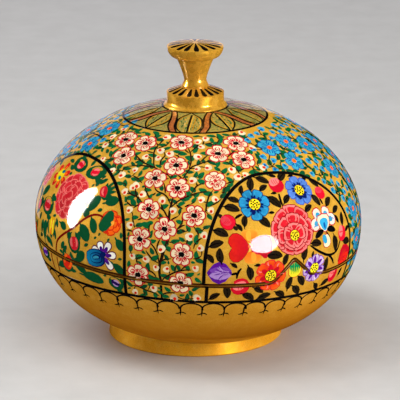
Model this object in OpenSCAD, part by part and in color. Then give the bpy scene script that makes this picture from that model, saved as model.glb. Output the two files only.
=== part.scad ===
// Round lidded box of pasted paper, with a turned knob and a ring foot.
// Millimetres, +Z up, the front towards -Y.
// The origin is on the floor, straight below the middle of the round body.

/* [Body] */
// Diameter of the round body at its widest line
body_d = 150; // [120:1:180]
// Height of the body above its widest line
upper_h = 54.2; // [50:0.1:60]
// Depth of the body below its widest line, before the base is flattened
lower_h = 55.2; // [54:0.1:58]
// Fullness of the upper half, where 2 is an ellipse
upper_full = 1.96; // [1.8:0.01:2.2]
// Fullness of the lower half
lower_full = 2.21; // [2:0.01:2.4]
// Height of the widest line above the floor
mid_z = 55; // [54.5:0.1:58]
// Lean of the handmade body to its right, in degrees
body_lean = 2.2; // [0:0.1:2.5]
// Depth of the flattened base below the widest line
base_drop = 51.8; // [50:0.1:52]
// Thickness of the pasted paper wall
wall = 3.6; // [3:0.1:5]

/* [Seam] */
// Drop of the seam below the widest line, on the body's axis
seam_drop = 8.5; // [6:0.1:10]
// Slope of the seam down to the right, in degrees
seam_side_slope = 0.5; // [0:0.1:1]
// Slope of the seam down to the front, in degrees
seam_front_slope = 1.5; // [0:0.1:2]
// Width of the open line that shows between bowl and lid
seam_gap = 0.5; // [0.3:0.1:0.8]
// Width of the band inside the wall where the lid bears on the bowl
land_w = 1.6; // [1:0.1:2.4]

/* [Locating tooth] */
// Turn of the tooth from the front towards the right, in degrees
tooth_turn = 35; // [0:1:180]
// Height of the tooth above the seam
tooth_h = 9.8; // [6:0.1:11]
// Width of the sloping left side
tooth_left_w = 10.6; // [8:0.1:14]
// Radius of the hollow curve at the foot of the left side
tooth_sweep = 6; // [3:0.5:8]
// Width of the straight right side, down to the shoulder
tooth_right_w = 9.8; // [7:0.1:12]
// Height of the shoulder on the right
shoulder_h = 1.8; // [0.5:0.1:3]
// Distance in which the shoulder falls back to the seam
shoulder_w = 14; // [8:1:20]
// Width of the blunted tip
tip_w = 1.2; // [0.6:0.1:2]

/* [Collar] */
// Thickness of the card collar inside the mouth
collar_t = 1.8; // [1.2:0.1:2.5]
// Top of the collar above the widest line
collar_top = 3; // [0:0.5:8]
// Depth below the widest line where the collar leaves the bowl's wall
collar_leave = 13; // [12:0.5:14]
// Depth below the widest line of the collar's lower edge
collar_drop = 26; // [20:1:32]

/* [Foot] */
// Sideways place of the foot and the knob from the middle of the body
axis_x = -1.4; // [-2:0.1:0]
// Radius of the foot on the floor
foot_r = 40; // [38:0.5:44]
// Radius of the foot where it meets the bowl
foot_top_r = 38.6; // [37:0.1:40]
// Radius of the hole in the foot
foot_hole_r = 33.6; // [30:0.2:35]
// Rounding of the foot's lower edges
foot_edge = 0.6; // [0.3:0.1:1]

/* [Knob] */
// Height of the flat seat of the knob above the floor
seat_z = 108.15; // [107.8:0.05:108.6]
// Radius of the flared base
flare_r = 14.5; // [14:0.1:16]
// Radius of the drum
drum_r = 13.1; // [12:0.1:14]
// Height of the drum's shoulder above the seat
drum_h = 6.5; // [5:0.1:8]
// Rise of the sloping top of the drum
cone_h = 2.5; // [1:0.1:4]
// Radius of the bead on the drum
bead_r = 6; // [5.5:0.1:7]
// Radius of the thinnest part of the stem
stem_r = 5.1; // [4.5:0.1:6]
// Radius of the stem under the cap
stem_top_r = 8.7; // [8:0.1:10]
// Height of the stem's thinnest part above the seat
stem_z = 12.3; // [12:0.1:13]
// Height of the cap's underside above the seat
cap_z = 22.6; // [21:0.1:24]
// Radius of the cap
cap_r = 12.9; // [11:0.1:14]
// Height of the cap's edge above the seat
cap_edge_z = 27.7; // [26.5:0.1:28.5]
// Height of the cap's top above the seat
cap_top_z = 29.2; // [28.6:0.1:31]

/* [Peg] */
// Radius of the peg that holds the knob
peg_r = 3; // [2:0.5:4]
// Depth of the peg in the knob
peg_depth = 8; // [6:0.5:9]
// Radius of the paper patch under the peg
patch_r = 20; // [16:1:26]
// Thickness of the paper patch
patch_t = 1; // [0.6:0.1:1.5]

/* [Smoothness] */
// Steps along each half of the body's outline
steps = 30; // [16:1:40]

/* [Hidden] */
$fn = 96;
// Larger than the whole box, for the halves and slabs that cut it
big = 4 * body_d;

// Way from the axis to the tooth, seen from above
tooth_dir = [sin(tooth_turn), -cos(tooth_turn)];
// Rise of the seam's plane from the axis to the tooth
tooth_seam = body_d / 2 * (
    tooth_dir[1] * tan(seam_front_slope) - tooth_dir[0] * tan(seam_side_slope)
);

// Points on one half of the outline, r = R cos(t)^(2/n) and z = h sin(t)^(2/n),
// for t from t0 to t1, with side -1 below the widest line and 1 above it.
function half_outline(r, h, n, side, t0, t1) = [
    for (i = [0 : steps])
        let (t = t0 + (t1 - t0) * i / steps)
        [r * pow(cos(t), 2 / n), side * h * pow(sin(t), 2 / n)]
];

// Points on an arc about a centre, from angle a0 to angle a1
function arc(centre, r, a0, a1, count) = [
    for (i = [0 : count])
        let (a = a0 + (a1 - a0) * i / count)
        centre + r * [cos(a), sin(a)]
];

// Half section of the body, drawn in by an inset: 0 is the outside, wall the hollow
module body_section(inset) {
    r = body_d / 2 - inset;
    low = lower_h - inset;
    flat = base_drop - inset;
    start = asin(pow(flat / low, lower_full / 2));
    lower = half_outline(r, low, lower_full, -1, start, 0);
    upper = half_outline(r, upper_h - inset, upper_full, 1, 90 / steps, 90);
    polygon(concat([[0, -flat]], lower, upper));
}

// Round solid of the body's outline
module body_solid(inset) {
    rotate_extrude()
        body_section(inset);
}

// Shell between two insets
module body_wall(outer, inner) {
    rotate_extrude()
        difference() {
            body_section(outer);
            body_section(inner);
        }
}

// Places a child that is drawn about the body's own leaning axis
module leaning() {
    translate([0, 0, mid_z])
        rotate([0, body_lean, 0])
            children();
}

// Everything below the seam's plane, raised by a lift
module below_seam(lift) {
    translate([0, 0, lift - seam_drop])
        rotate([seam_front_slope, seam_side_slope, 0])
            translate([-big / 2, -big / 2, -big])
                cube(big);
}

// Outline of the tooth, with its root sunk below the seam
module tooth_outline() {
    root = 4;
    slope = atan(tooth_h / (tooth_left_w - tip_w));
    sweep_start = -tooth_left_w - tooth_sweep * tan(slope / 2);
    sweep = arc([sweep_start, tooth_sweep], tooth_sweep, -90, slope - 90, 6);
    polygon(concat(
        [[sweep_start - root, -root], [sweep_start - root, -0.2]],
        sweep,
        [[-tip_w, tooth_h - 0.4], [-tip_w / 3, tooth_h], [tip_w / 2, tooth_h - 0.2]],
        [[tooth_right_w, shoulder_h]],
        [[tooth_right_w + shoulder_w, -0.2], [tooth_right_w + shoulder_w, -root]]
    ));
}

// The tooth as a bar that runs out through the wall, raised by a lift
module tooth_bar(lift) {
    inside = body_d / 4;
    rotate([0, 0, tooth_turn])
        translate([0, -inside, lift - seam_drop + tooth_seam])
            rotate([90, 0, 0])
                linear_extrude(body_d / 2)
                    tooth_outline();
}

// The sector that the tooth takes, left free of the bearing band
module tooth_sector() {
    left = tooth_left_w + tooth_sweep;
    right = tooth_right_w + shoulder_w;
    rotate([0, 0, tooth_turn])
        translate([-left, -body_d, -body_d / 2])
            cube([left + right, body_d * 3 / 4, body_d]);
}

// Lower shell, with the tooth that stands up from its rim
module bowl_shell() {
    color("goldenrod")
        leaning()
            intersection() {
                body_wall(0, wall);
                union() {
                    below_seam(0);
                    tooth_bar(0);
                }
            }
}

// Low ring on the inner part of the lid's rim, which bears on the bowl
module bearing_band() {
    difference() {
        intersection() {
            body_wall(wall - land_w, wall);
            below_seam(seam_gap * 2);
        }
        below_seam(0);
        tooth_sector();
    }
}

// Upper shell, notched over the tooth, with a flat seat for the knob
module lid_shell() {
    color("darkgoldenrod")
        difference() {
            leaning()
                union() {
                    difference() {
                        body_wall(0, wall);
                        below_seam(seam_gap);
                        tooth_bar(seam_gap);
                    }
                    bearing_band();
                }
            translate([axis_x, 0, seat_z])
                cylinder(h = body_d, r = flare_r * 2);
            translate([axis_x, 0, seat_z - body_d / 4])
                cylinder(h = body_d / 2, r = peg_r);
        }
}

// Card strip pasted inside the mouth, on which the lid is guided
module rim_collar() {
    hollow_r = body_d / 2 - wall;
    leave = collar_leave / (lower_h - wall);
    straight_r = hollow_r * pow(1 - pow(leave, lower_full), 1 / lower_full);
    color("saddlebrown")
        leaning()
            rotate_extrude()
                difference() {
                    intersection() {
                        body_section(wall);
                        translate([0, -collar_drop])
                            square([straight_r, collar_drop + collar_top]);
                    }
                    intersection() {
                        body_section(wall + collar_t);
                        translate([0, -body_d])
                            square([straight_r - collar_t, body_d * 2]);
                    }
                }
}

// Ring under the bowl, cut to the bowl's round underside
module foot_ring() {
    color("goldenrod")
        difference() {
            translate([axis_x, 0, 0])
                rotate_extrude()
                    polygon([
                        [foot_hole_r + foot_edge, 0],
                        [foot_r - foot_edge, 0],
                        [foot_r, foot_edge],
                        [foot_top_r, 10],
                        [foot_hole_r, 10],
                        [foot_hole_r, foot_edge]
                    ]);
            leaning()
                body_solid(0);
        }
}

// Turned knob: flared drum with a sloping top, thin stem and wide cap
module finial() {
    bead_z = drum_h + cone_h;
    stem_rise = cap_z - stem_z;
    stem_flare = stem_top_r - stem_r;
    flare_curve = 1.6;
    cap_in = cap_r - stem_top_r - 0.4;
    cap_rise = cap_edge_z - cap_z;
    dome_h = cap_top_z - cap_edge_z;
    dome_r = (cap_r * cap_r + dome_h * dome_h) / (2 * dome_h);
    dome_a = asin(cap_r / dome_r);
    color("goldenrod")
        translate([axis_x, 0, seat_z])
            difference() {
                rotate_extrude()
                    polygon(concat(
                        [[0, 0], [flare_r, 0], [flare_r, 0.4]],
                        arc([drum_r + flare_curve, 2.4], flare_curve, 250, 180, 5),
                        [[drum_r, drum_h]],
                        [[bead_r, bead_z], [bead_r + 0.1, bead_z + 0.5]],
                        [[bead_r - 0.3, bead_z + 1.3], [stem_r + 0.1, stem_z - 0.8]],
                        [for (i = [0 : 8])
                            let (up = i / 8)
                            [stem_r + stem_flare * pow(up, 1.25), stem_z + stem_rise * up]],
                        [for (i = [1 : 8])
                            let (a = 90 * i / 8)
                            [stem_top_r + 0.4 + cap_in * sin(a), cap_z + cap_rise * (1 - cos(a))]],
                        [for (i = [1 : 6])
                            let (a = dome_a * (1 - i / 6))
                            [dome_r * sin(a), cap_top_z - dome_r * (1 - cos(a))]]
                    ));
                translate([0, 0, -peg_depth])
                    cylinder(h = peg_depth * 2, r = peg_r);
            }
}

// Dowel glued through the crown of the lid and up into the knob
module finial_peg() {
    color("burlywood")
        difference() {
            translate([axis_x, 0, seat_z - body_d / 20])
                cylinder(h = body_d / 20 + peg_depth, r = peg_r);
            leaning()
                body_solid(wall);
        }
}

// Paper disc pasted inside the lid, over the end of the peg
module crown_patch() {
    color("tan")
        leaning()
            rotate_extrude()
                intersection() {
                    difference() {
                        body_section(wall);
                        translate([0, -patch_t])
                            body_section(wall);
                    }
                    square([patch_r, body_d]);
                }
}

bowl_shell();
lid_shell();
rim_collar();
foot_ring();
finial();
finial_peg();
crown_patch();
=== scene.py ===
import math

import bpy
import numpy as np
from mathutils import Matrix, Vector


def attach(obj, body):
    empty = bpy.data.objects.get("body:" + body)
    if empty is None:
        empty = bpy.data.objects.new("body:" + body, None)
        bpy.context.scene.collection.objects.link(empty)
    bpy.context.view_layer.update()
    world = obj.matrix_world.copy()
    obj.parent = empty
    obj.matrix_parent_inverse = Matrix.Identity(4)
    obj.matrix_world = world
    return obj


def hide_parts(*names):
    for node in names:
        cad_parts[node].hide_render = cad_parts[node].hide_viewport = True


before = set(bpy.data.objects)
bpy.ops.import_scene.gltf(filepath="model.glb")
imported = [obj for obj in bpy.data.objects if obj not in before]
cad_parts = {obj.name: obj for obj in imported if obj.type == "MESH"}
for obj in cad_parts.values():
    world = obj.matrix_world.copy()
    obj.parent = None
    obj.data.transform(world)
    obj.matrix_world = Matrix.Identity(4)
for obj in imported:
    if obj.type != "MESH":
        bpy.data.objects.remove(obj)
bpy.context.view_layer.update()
mm = 0.001  # all the shaping below is in millimetres

# The body's shape, shared by shells and paint
body = {
    "radius": 75.0,  # at the widest line
    "upper": 54.2,  # height above the widest line
    "lower": 55.2,  # depth below it, before the base is flattened
    "upperFull": 1.96,
    "lowerFull": 2.21,
    "middle": 55.0,  # height of the widest line above the floor
    "lean": math.radians(2.2),
    "base": 51.8,  # depth of the flat base
    "wall": 3.6,
    "axis": -1.4,  # sideways place of knob and foot
}
seam = {
    "drop": 8.5,  # below the widest line
    "radius": 74.5,
    "side": math.radians(0.5),  # tilts of the cut's plane
    "front": math.radians(1.5),
    "gap": 0.5,  # between the lid's edge and the bowl's, outside the bearing band
    "land": 1.6,  # how far the gap reaches in from the outside
    "turn": math.radians(35),  # place of the tooth, right of the front
    "height": 9.8,
    "left": 10.6,  # the tooth's reach to each side of its tip
    "right": 9.8,
    "sweep": 6.0,  # radius of the hollow at its left root
    "shoulder": 1.8,  # height of its right root, and how long that takes to fade
    "fade": 14.0,
    "tip": 1.2,  # half width of its blunt tip
}
flatSteps = 60  # points over the flat base, at the end of each outline


# Half outline by a superellipse: r = R cos(t)^(2/n), z = h sin(t)^(2/n),
# from the top pole over the widest line to the flat base and its middle.
def outline(inset):
    steps = 900
    t = np.linspace(0, math.pi / 2, steps)
    big, top, low = (body[k] - inset for k in ("radius", "upper", "lower"))
    flat = body["base"] - inset
    upR = big * np.cos(t[::-1]) ** (2 / body["upperFull"])
    upZ = top * np.sin(t[::-1]) ** (2 / body["upperFull"])
    end = math.asin((flat / low) ** (body["lowerFull"] / 2))
    t = np.linspace(0, end, steps)[1:]
    downR = big * np.cos(t) ** (2 / body["lowerFull"])
    downZ = -low * np.sin(t) ** (2 / body["lowerFull"])
    inR = np.linspace(downR[-1], 0, flatSteps)[1:]
    r = np.concatenate([upR, downR, inR])
    z = np.concatenate([upZ, downZ, np.full(len(inR), -flat)])
    r[0] = 0
    s = np.concatenate([[0], np.cumsum(np.hypot(np.diff(r), np.diff(z)))])
    return {"r": r, "z": z, "s": s, "corner": s[len(upR) + len(downR) - 1]}


outer, inner = outline(0), outline(body["wall"])
widest = int(np.argmax(outer["r"]))
slopeR = np.gradient(outer["r"], outer["s"])
slopeZ = np.gradient(outer["z"], outer["s"])


# From the body's own leaning frame to the floor frame: a turn about Y, then up
def leaned(points):
    c, s = math.cos(body["lean"]), math.sin(body["lean"])
    x, y, z = points[..., 0], points[..., 1], points[..., 2]
    return np.stack([c * x + s * z, y, c * z - s * x + body["middle"]], -1)


def leanedWay(ways):  # the same turn for directions
    c, s = math.cos(body["lean"]), math.sin(body["lean"])
    x, y, z = ways[..., 0], ways[..., 1], ways[..., 2]
    return np.stack([c * x + s * z, y, c * z - s * x], -1)


# Depth below the top pole along an outline, for a height z over the widest line
def depthAt(z, table=outer):
    return np.interp(-z, -table["z"][:-flatSteps], table["s"][:-flatSteps])


# Height of the tooth's edge over its root, at a distance u to its right:
# a hollow arc, a straight flank, a blunt tip, a straight flank and a fading shoulder
def toothHeight(u):
    rise = math.atan(seam["height"] / (seam["left"] - seam["tip"]))
    start = -seam["left"] - seam["sweep"] * math.tan(rise / 2)
    turn = np.linspace(0, rise, 7)
    x = start + seam["sweep"] * np.sin(turn)
    y = seam["sweep"] * (1 - np.cos(turn))
    tip, high, right = seam["tip"], seam["height"], seam["right"]
    x = np.concatenate([x, [-tip, -tip / 3, tip / 2, right, right + seam["fade"]]])
    y = np.concatenate([y, [high - 0.4, high, high - 0.2, seam["shoulder"], -0.2]])
    return np.interp(u, x, y, left=-9, right=-9)


# Height of the seam in the body's frame: a tilted plane, or the tooth where that is higher
def seamHeight(a):
    r = seam["radius"]
    plane = -seam["drop"] - r * np.sin(a) * math.tan(seam["side"])
    plane = plane - r * np.cos(a) * math.tan(seam["front"])
    root = -seam["drop"] - r * math.sin(seam["turn"]) * math.tan(seam["side"])
    root = root - r * math.cos(seam["turn"]) * math.tan(seam["front"])
    near = np.cos(a - seam["turn"]) > 0
    tooth = root + toothHeight(r * np.sin(a - seam["turn"]))
    return np.where(near, np.maximum(plane, tooth), plane)


# A mesh from points and arrays of faces, one array for each number of corners
def meshFrom(name, points, faceGroups):
    mesh = bpy.data.meshes.new(name)
    corners = np.concatenate([g.reshape(-1) for g in faceGroups])
    sizes = np.concatenate([np.full(len(g), g.shape[1]) for g in faceGroups])
    mesh.vertices.add(len(points))
    mesh.vertices.foreach_set("co", np.asarray(points, np.float32).reshape(-1))
    mesh.loops.add(len(corners))
    mesh.loops.foreach_set("vertex_index", corners.astype(np.int32))
    mesh.polygons.add(len(sizes))
    starts = np.concatenate([[0], np.cumsum(sizes)[:-1]]).astype(np.int32)
    mesh.polygons.foreach_set("loop_start", starts)
    mesh.update(calc_edges=True)
    return mesh


def inScene(name, data):
    thing = bpy.data.objects.new(name, data)
    bpy.context.scene.collection.objects.link(thing)
    return thing


def addPiece(name, mesh, bodyName, material):
    piece = inScene(name, mesh)
    mesh.materials.clear()
    mesh.materials.append(material)
    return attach(piece, bodyName)


# Closed skin from rows of (r, z), each an array over the columns a: the first and last
# rows shrink to one point, and the others are joined by quads all round
def turnedSkin(name, a, rows, place):
    rings = np.array([np.stack([r * np.sin(a), -r * np.cos(a), z], -1) for r, z in rows[1:-1]])
    count, n = len(rings), len(a)
    ends = [[0, 0, float(np.mean(rows[0][1]))], [0, 0, float(np.mean(rows[-1][1]))]]
    points = np.concatenate([rings.reshape(-1, 3), ends])
    k, j = np.meshgrid(np.arange(count - 1), np.arange(n), indexing="ij")
    here, right = k * n + j, k * n + (j + 1) % n
    quads = np.stack([here, here + n, right + n, right], -1).reshape(-1, 4)
    j = np.arange(n)
    first = np.stack([np.full(n, count * n), j, (j + 1) % n], -1)
    last = (count - 1) * n
    second = np.stack([np.full(n, count * n + 1), last + (j + 1) % n, last + j], -1)
    mesh = meshFrom(name, place(points) * mm, [quads, first, second])
    mesh.shade_smooth()
    mesh.set_sharp_from_angle(angle=math.radians(38))
    return mesh


def ink(red, green, blue):  # a painter's colour, 0 to 255, as linear light
    c = np.array([red, green, blue]) / 255
    return np.where(c <= 0.04045, c / 12.92, ((c + 0.055) / 1.055) ** 2.4)


inks = {
    "gold": ink(203, 152, 48),
    "deepGold": ink(184, 131, 32),
    "paleGold": ink(236, 190, 84),
    "black": ink(14, 11, 10),
    "olive": ink(36, 27, 15),
    "vine": ink(42, 20, 12),
    "leaf": ink(14, 96, 50),
    "darkLeaf": ink(14, 78, 44),
    "cream": ink(232, 216, 178),
    "white": ink(250, 246, 236),
    "red": ink(196, 16, 36),
    "deepRed": ink(142, 8, 20),
    "crimson": ink(214, 20, 44),
    "pink": ink(226, 62, 78),
    "salmon": ink(240, 124, 120),
    "orange": ink(250, 106, 22),
    "paleOrange": ink(252, 160, 50),
    "dot": ink(222, 40, 20),
    "turquoise": ink(54, 154, 184),
    "skyBlue": ink(48, 156, 202),
    "blue": ink(14, 84, 156),
    "navy": ink(10, 28, 92),
    "periwinkle": ink(92, 136, 208),
    "cobalt": ink(26, 66, 168),
    "purple": ink(92, 24, 150),
    "lilac": ink(190, 158, 214),
    "yellow": ink(248, 220, 36),
    "lime": ink(160, 196, 30),
    "green": ink(14, 140, 76),
    "seam": ink(66, 32, 6),
    "rose": ink(206, 30, 42),
    "rosePale": ink(234, 112, 106),
    "maroon": ink(120, 14, 12),
    "plum": ink(96, 20, 58),
    "linen": ink(226, 216, 200),
    "violet": ink(122, 66, 176),
    "mauve": ink(168, 132, 200),
    "indigo": ink(38, 14, 84),
    "ocean": ink(24, 140, 190),
    "deepYellow": ink(228, 168, 10),
}


# A new material with its shader, and the piece's own coordinates
def nodeTree(name):
    material = bpy.data.materials.new(name)
    material.use_nodes = True
    tree = material.node_tree
    tree.nodes.clear()
    shader = tree.nodes.new("ShaderNodeBsdfPrincipled")
    output = tree.nodes.new("ShaderNodeOutputMaterial")
    tree.links.new(shader.outputs[0], output.inputs[0])
    place = tree.nodes.new("ShaderNodeTexCoord").outputs["Object"]
    return material, tree, shader, place


def noise(tree, scale, detail, coordinates, roughness=0.55):
    node = tree.nodes.new("ShaderNodeTexNoise")
    node.inputs["Scale"].default_value = scale
    node.inputs["Detail"].default_value = detail
    node.inputs["Roughness"].default_value = roughness
    tree.links.new(coordinates, node.inputs["Vector"])
    return node.outputs["Fac"]


def ranged(tree, value, low, high, fromLow=0.3, fromHigh=0.7):
    node = tree.nodes.new("ShaderNodeMapRange")
    limits = {"From Min": fromLow, "From Max": fromHigh, "To Min": low, "To Max": high}
    for name, number in limits.items():
        node.inputs[name].default_value = number
    tree.links.new(value, node.inputs["Value"])
    return node.outputs[0]


def mixed(tree, factor, first, second, way="MIX"):
    node = tree.nodes.new("ShaderNodeMix")
    node.data_type = "RGBA"
    node.blend_type = way
    for socket, value in ((0, factor), (6, first), (7, second)):
        if isinstance(value, bpy.types.NodeSocket):
            tree.links.new(value, node.inputs[socket])
        elif socket == 0:
            node.inputs[0].default_value = value
        else:
            node.inputs[socket].default_value = (*value, 1)
    return node.outputs[2]


def bumped(tree, shader, height, depth):
    node = tree.nodes.new("ShaderNodeBump")
    node.inputs["Distance"].default_value = depth
    node.inputs["Strength"].default_value = 0.5
    tree.links.new(height, node.inputs["Height"])
    tree.links.new(node.outputs[0], shader.inputs["Normal"])


lacquer = {"coat": 0.5, "coatRoughness": 0.06, "coatIor": 1.38}


def lacquered(shader, coat=None):
    shader.inputs["Coat Weight"].default_value = lacquer["coat"] if coat is None else coat
    shader.inputs["Coat Roughness"].default_value = lacquer["coatRoughness"]
    shader.inputs["Coat IOR"].default_value = lacquer["coatIor"]


# Bronze-powder gold: a warm partly metallic coat with slow clouds, brushed patches and a fine
# glitter, and, where one is given, a browner, darker tone towards the foot that is painted shade,
# standing in for a dark table mirrored in the lower bowl
def goldFinish(name, tone, dark, metallic=0.06, rough=0.45, low=None):
    material, tree, shader, place = nodeTree(name)
    clouds = noise(tree, 30, 3, place)
    patches = noise(tree, 260, 3, place, 0.6)
    specks = noise(tree, 2600, 2, place, 0.6)
    colour = mixed(tree, ranged(tree, clouds, 0.0, 0.8), tone, dark)
    colour = mixed(tree, ranged(tree, patches, 0.0, 0.3, 0.45, 0.7), colour, inks["paleGold"])
    colour = mixed(tree, ranged(tree, specks, 0.0, 0.3, 0.5, 0.75), colour, inks["paleGold"])
    colour = mixed(tree, ranged(tree, specks, 0.3, 0.0, 0.28, 0.48), colour, inks["seam"])
    # painted shade: the low tone darkens the colour towards the foot
    if low is not None:
        split = tree.nodes.new("ShaderNodeSeparateXYZ")
        tree.links.new(place, split.inputs[0])
        down = ranged(tree, split.outputs[2], 0.85, 0.0, 0.012, 0.045)
        colour = mixed(tree, down, colour, low)
    tree.links.new(colour, shader.inputs["Base Color"])
    shader.inputs["Metallic"].default_value = metallic
    shader.inputs["Specular IOR Level"].default_value = 0.0
    tree.links.new(ranged(tree, patches, rough - 0.06, rough + 0.06), shader.inputs["Roughness"])
    bumped(tree, shader, specks, 0.01 * mm)
    lacquered(shader)
    return material


# Brush paint under lacquer: each stroke's own tint, with thin and thick places in it
def paintFinish(name):
    material, tree, shader, place = nodeTree(name)
    tint = tree.nodes.new("ShaderNodeAttribute")
    tint.attribute_name = "tint"
    thick = noise(tree, 900, 3, place)
    slow = noise(tree, 220, 2, place)
    colour = mixed(tree, ranged(tree, thick, 0.0, 0.4), tint.outputs["Color"], (0.7, 0.64, 0.58),
                   "MULTIPLY")
    colour = mixed(tree, ranged(tree, slow, 0.0, 0.35), colour, (0.8, 0.78, 0.76), "MULTIPLY")
    tree.links.new(colour, shader.inputs["Base Color"])
    tree.links.new(ranged(tree, thick, 0.42, 0.6), shader.inputs["Roughness"])
    shader.inputs["Specular IOR Level"].default_value = 0.0
    lacquered(shader)
    return material


# Stippled green, brown and gold, dabbed wet over the ground inside the crown's petals
def stippleFinish(name, first, second, dark, scale):
    material, tree, shader, place = nodeTree(name)
    broad = noise(tree, scale, 4, place, 0.7)
    fine = noise(tree, scale * 2.3, 3, place, 0.7)
    colour = mixed(tree, ranged(tree, broad, 0, 1, 0.42, 0.56), first, second)
    colour = mixed(tree, ranged(tree, fine, 0, 1, 0.56, 0.66), colour, dark)
    tree.links.new(colour, shader.inputs["Base Color"])
    tree.links.new(ranged(tree, fine, 0.4, 0.56), shader.inputs["Roughness"])
    lacquered(shader)
    return material


# Plain woods, card and dark lacquer for the parts that show when the lid is lifted
def plainFinish(name, tone, dark, scale, rough, coat=0.0, stretch=(1, 1, 1)):
    material, tree, shader, place = nodeTree(name)
    mapping = tree.nodes.new("ShaderNodeMapping")
    mapping.inputs["Scale"].default_value = stretch
    tree.links.new(place, mapping.inputs["Vector"])
    grain = noise(tree, scale, 4, mapping.outputs[0])
    tree.links.new(mixed(tree, ranged(tree, grain, 0, 1), tone, dark), shader.inputs["Base Color"])
    tree.links.new(ranged(tree, grain, rough - 0.06, rough + 0.08), shader.inputs["Roughness"])
    bumped(tree, shader, grain, 0.06 * mm)
    lacquered(shader, coat)
    return material


finishes = {
    # the ground's low tone is painted shade on the lower bowl
    "ground": goldFinish("gold_ground_with_low_shade", inks["gold"], inks["deepGold"], low=ink(186, 108, 6)),
    "turned": goldFinish("turned_gold", ink(216, 160, 50), ink(196, 132, 30), 0.3, 0.28),
    "footGold": goldFinish("foot_gold", ink(236, 166, 36), ink(208, 132, 20), 0.1, 0.36),
    "paint": paintFinish("brush_paint"),
    "stipple": stippleFinish(
        "petal_stipple", ink(178, 142, 50), ink(104, 116, 48), ink(60, 74, 38), 900
    ),
    "flame": stippleFinish(
        "band_stipple", ink(190, 102, 30), ink(136, 68, 20), ink(62, 30, 12), 700
    ),
    "inside": plainFinish("dark_lacquer", ink(26, 22, 20), ink(14, 12, 11), 60, 0.42, 0.5),
    "card": plainFinish("dark_card", ink(34, 27, 22), ink(16, 13, 11), 160, 0.5, 0.3),
    "wood": plainFinish("bare_dowel", ink(196, 158, 108), ink(150, 108, 62), 240, 0.6, 0,
                        (1, 1, 0.1)),
}
print("finishes made")


shell = {
    "columns": 560,
    "toothColumns": 200,  # more of them over the tooth
    "toothLeft": math.radians(16),
    "toothRight": math.radians(24),
    "notchLeft": 0.24,  # reach of the notch in radians, where no gap is left
    "notchRight": 0.34,
    "rows": 46,
    "innerRows": 24,
    "lip": 0.3,  # rounding of the edges
    "step": 0.02,  # keeps the rows at the gap apart
}


# Angles all round, closer together over the tooth
def columnAngles():
    low, high = seam["turn"] - shell["toothLeft"], seam["turn"] + shell["toothRight"]
    close = np.linspace(low, high, shell["toothColumns"], endpoint=False)
    wide = np.linspace(high, low + 2 * math.pi, shell["columns"], endpoint=False)
    return np.concatenate([close, wide])


def along(table, s):  # r and z at a depth along an outline
    return np.interp(s, table["s"], table["r"]), np.interp(s, table["s"], table["z"])


def makeShells():
    a = columnAngles()
    edge = seamHeight(a)
    lip = shell["lip"]
    # lid: outside from the pole down, round the lip, over the bearing band, up the inside
    low = depthAt(edge + seam["gap"])
    rows = [along(outer, low * 0)]
    for w in np.linspace(0, 1, shell["rows"])[1:] ** 0.9:
        rows.append(along(outer, (low - lip) * w))
    r, z = along(outer, low)
    rows.append((r - lip * 0.3, z + lip * 0.3))
    rows.append((r - lip, z))
    band = body["wall"] - seam["land"]
    rows.append((r - band, z))
    inTooth = (a > seam["turn"] - shell["notchLeft"]) & (a < seam["turn"] + shell["notchRight"])
    under = np.where(inTooth, 0.0, seam["gap"] - shell["step"])
    rows.append((r - band - shell["step"], z - under))
    s = depthAt(edge + seam["gap"] - under, inner)
    ri, zi = along(inner, s)
    rows.append((ri, zi))
    for w in np.linspace(1, 0, shell["innerRows"])[1:-1]:
        rows.append(along(inner, s * w))
    rows.append(along(inner, s * 0))
    lidMesh = turnedSkin("lid", a, rows, leaned)
    # bowl: outside from the lip down to the flat base, then the inside from its floor up;
    # the rows run from the base's middle outwards so that the skin faces out
    top = depthAt(edge)
    rim = along(outer, top)
    rows = [along(inner, top * 0 + inner["s"][-1])]
    floor = inner["s"][-1] - inner["corner"]
    start = depthAt(edge, inner)
    for w in (0.35, 0.7, 1.0):
        rows.append(along(inner, top * 0 + inner["s"][-1] - floor * w))
    for w in np.linspace(0, 1, shell["innerRows"])[1:]:
        rows.append(along(inner, inner["corner"] + (start - inner["corner"]) * w))
    rows.append((rim[0] - lip, rim[1]))
    rows.append((rim[0] - lip * 0.3, rim[1] - lip * 0.3))
    for w in np.linspace(0, 1, shell["rows"]):
        rows.append(along(outer, top + lip + (outer["corner"] - top - lip) * w))
    foot = outer["s"][-1] - outer["corner"]
    for w in (0.5, 1):
        rows.append(along(outer, top * 0 + outer["corner"] + foot * w))
    bowlMesh = turnedSkin("bowl", a, rows, leaned)
    lid = addPiece("lid_painted", lidMesh, "lid", finishes["ground"])
    bowl = addPiece("bowl_painted", bowlMesh, "bowl", finishes["ground"])
    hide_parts("lid_shell")
    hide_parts("bowl_shell")
    # dark lacquer on the faces that look into the box, deeper than the middle of the wall
    for mesh in (lidMesh, bowlMesh):
        mesh.materials.append(finishes["inside"])
        centres = np.empty(len(mesh.polygons) * 3)
        mesh.polygons.foreach_get("center", centres)
        c = centres.reshape(-1, 3) / mm - [0, 0, body["middle"]]
        turn = body["lean"]
        x = math.cos(turn) * c[:, 0] - math.sin(turn) * c[:, 2]
        z = math.sin(turn) * c[:, 0] + math.cos(turn) * c[:, 2]
        level = 0.75 * body["wall"]
        big, top, low = (body[k] - level for k in ("radius", "upper", "lower"))
        n = np.where(z > 0, body["upperFull"], body["lowerFull"])
        h = np.where(z > 0, top, low)
        q = (np.hypot(x, c[:, 1]) / big) ** n + (np.abs(z) / h) ** n
        flat = z > -(body["base"] - level)
        mesh.polygons.foreach_set("material_index", ((q < 1) & flat).astype(np.int32))


makeShells()
for node, finish in (("finial", "turned"), ("foot_ring", "footGold"), ("finial_peg", "wood"),
                     ("crown_patch", "inside"), ("rim_collar", "card")):
    part = bpy.data.objects[node]
    part.data.materials.clear()
    part.data.materials.append(finishes[finish])
print("shells made")


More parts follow.
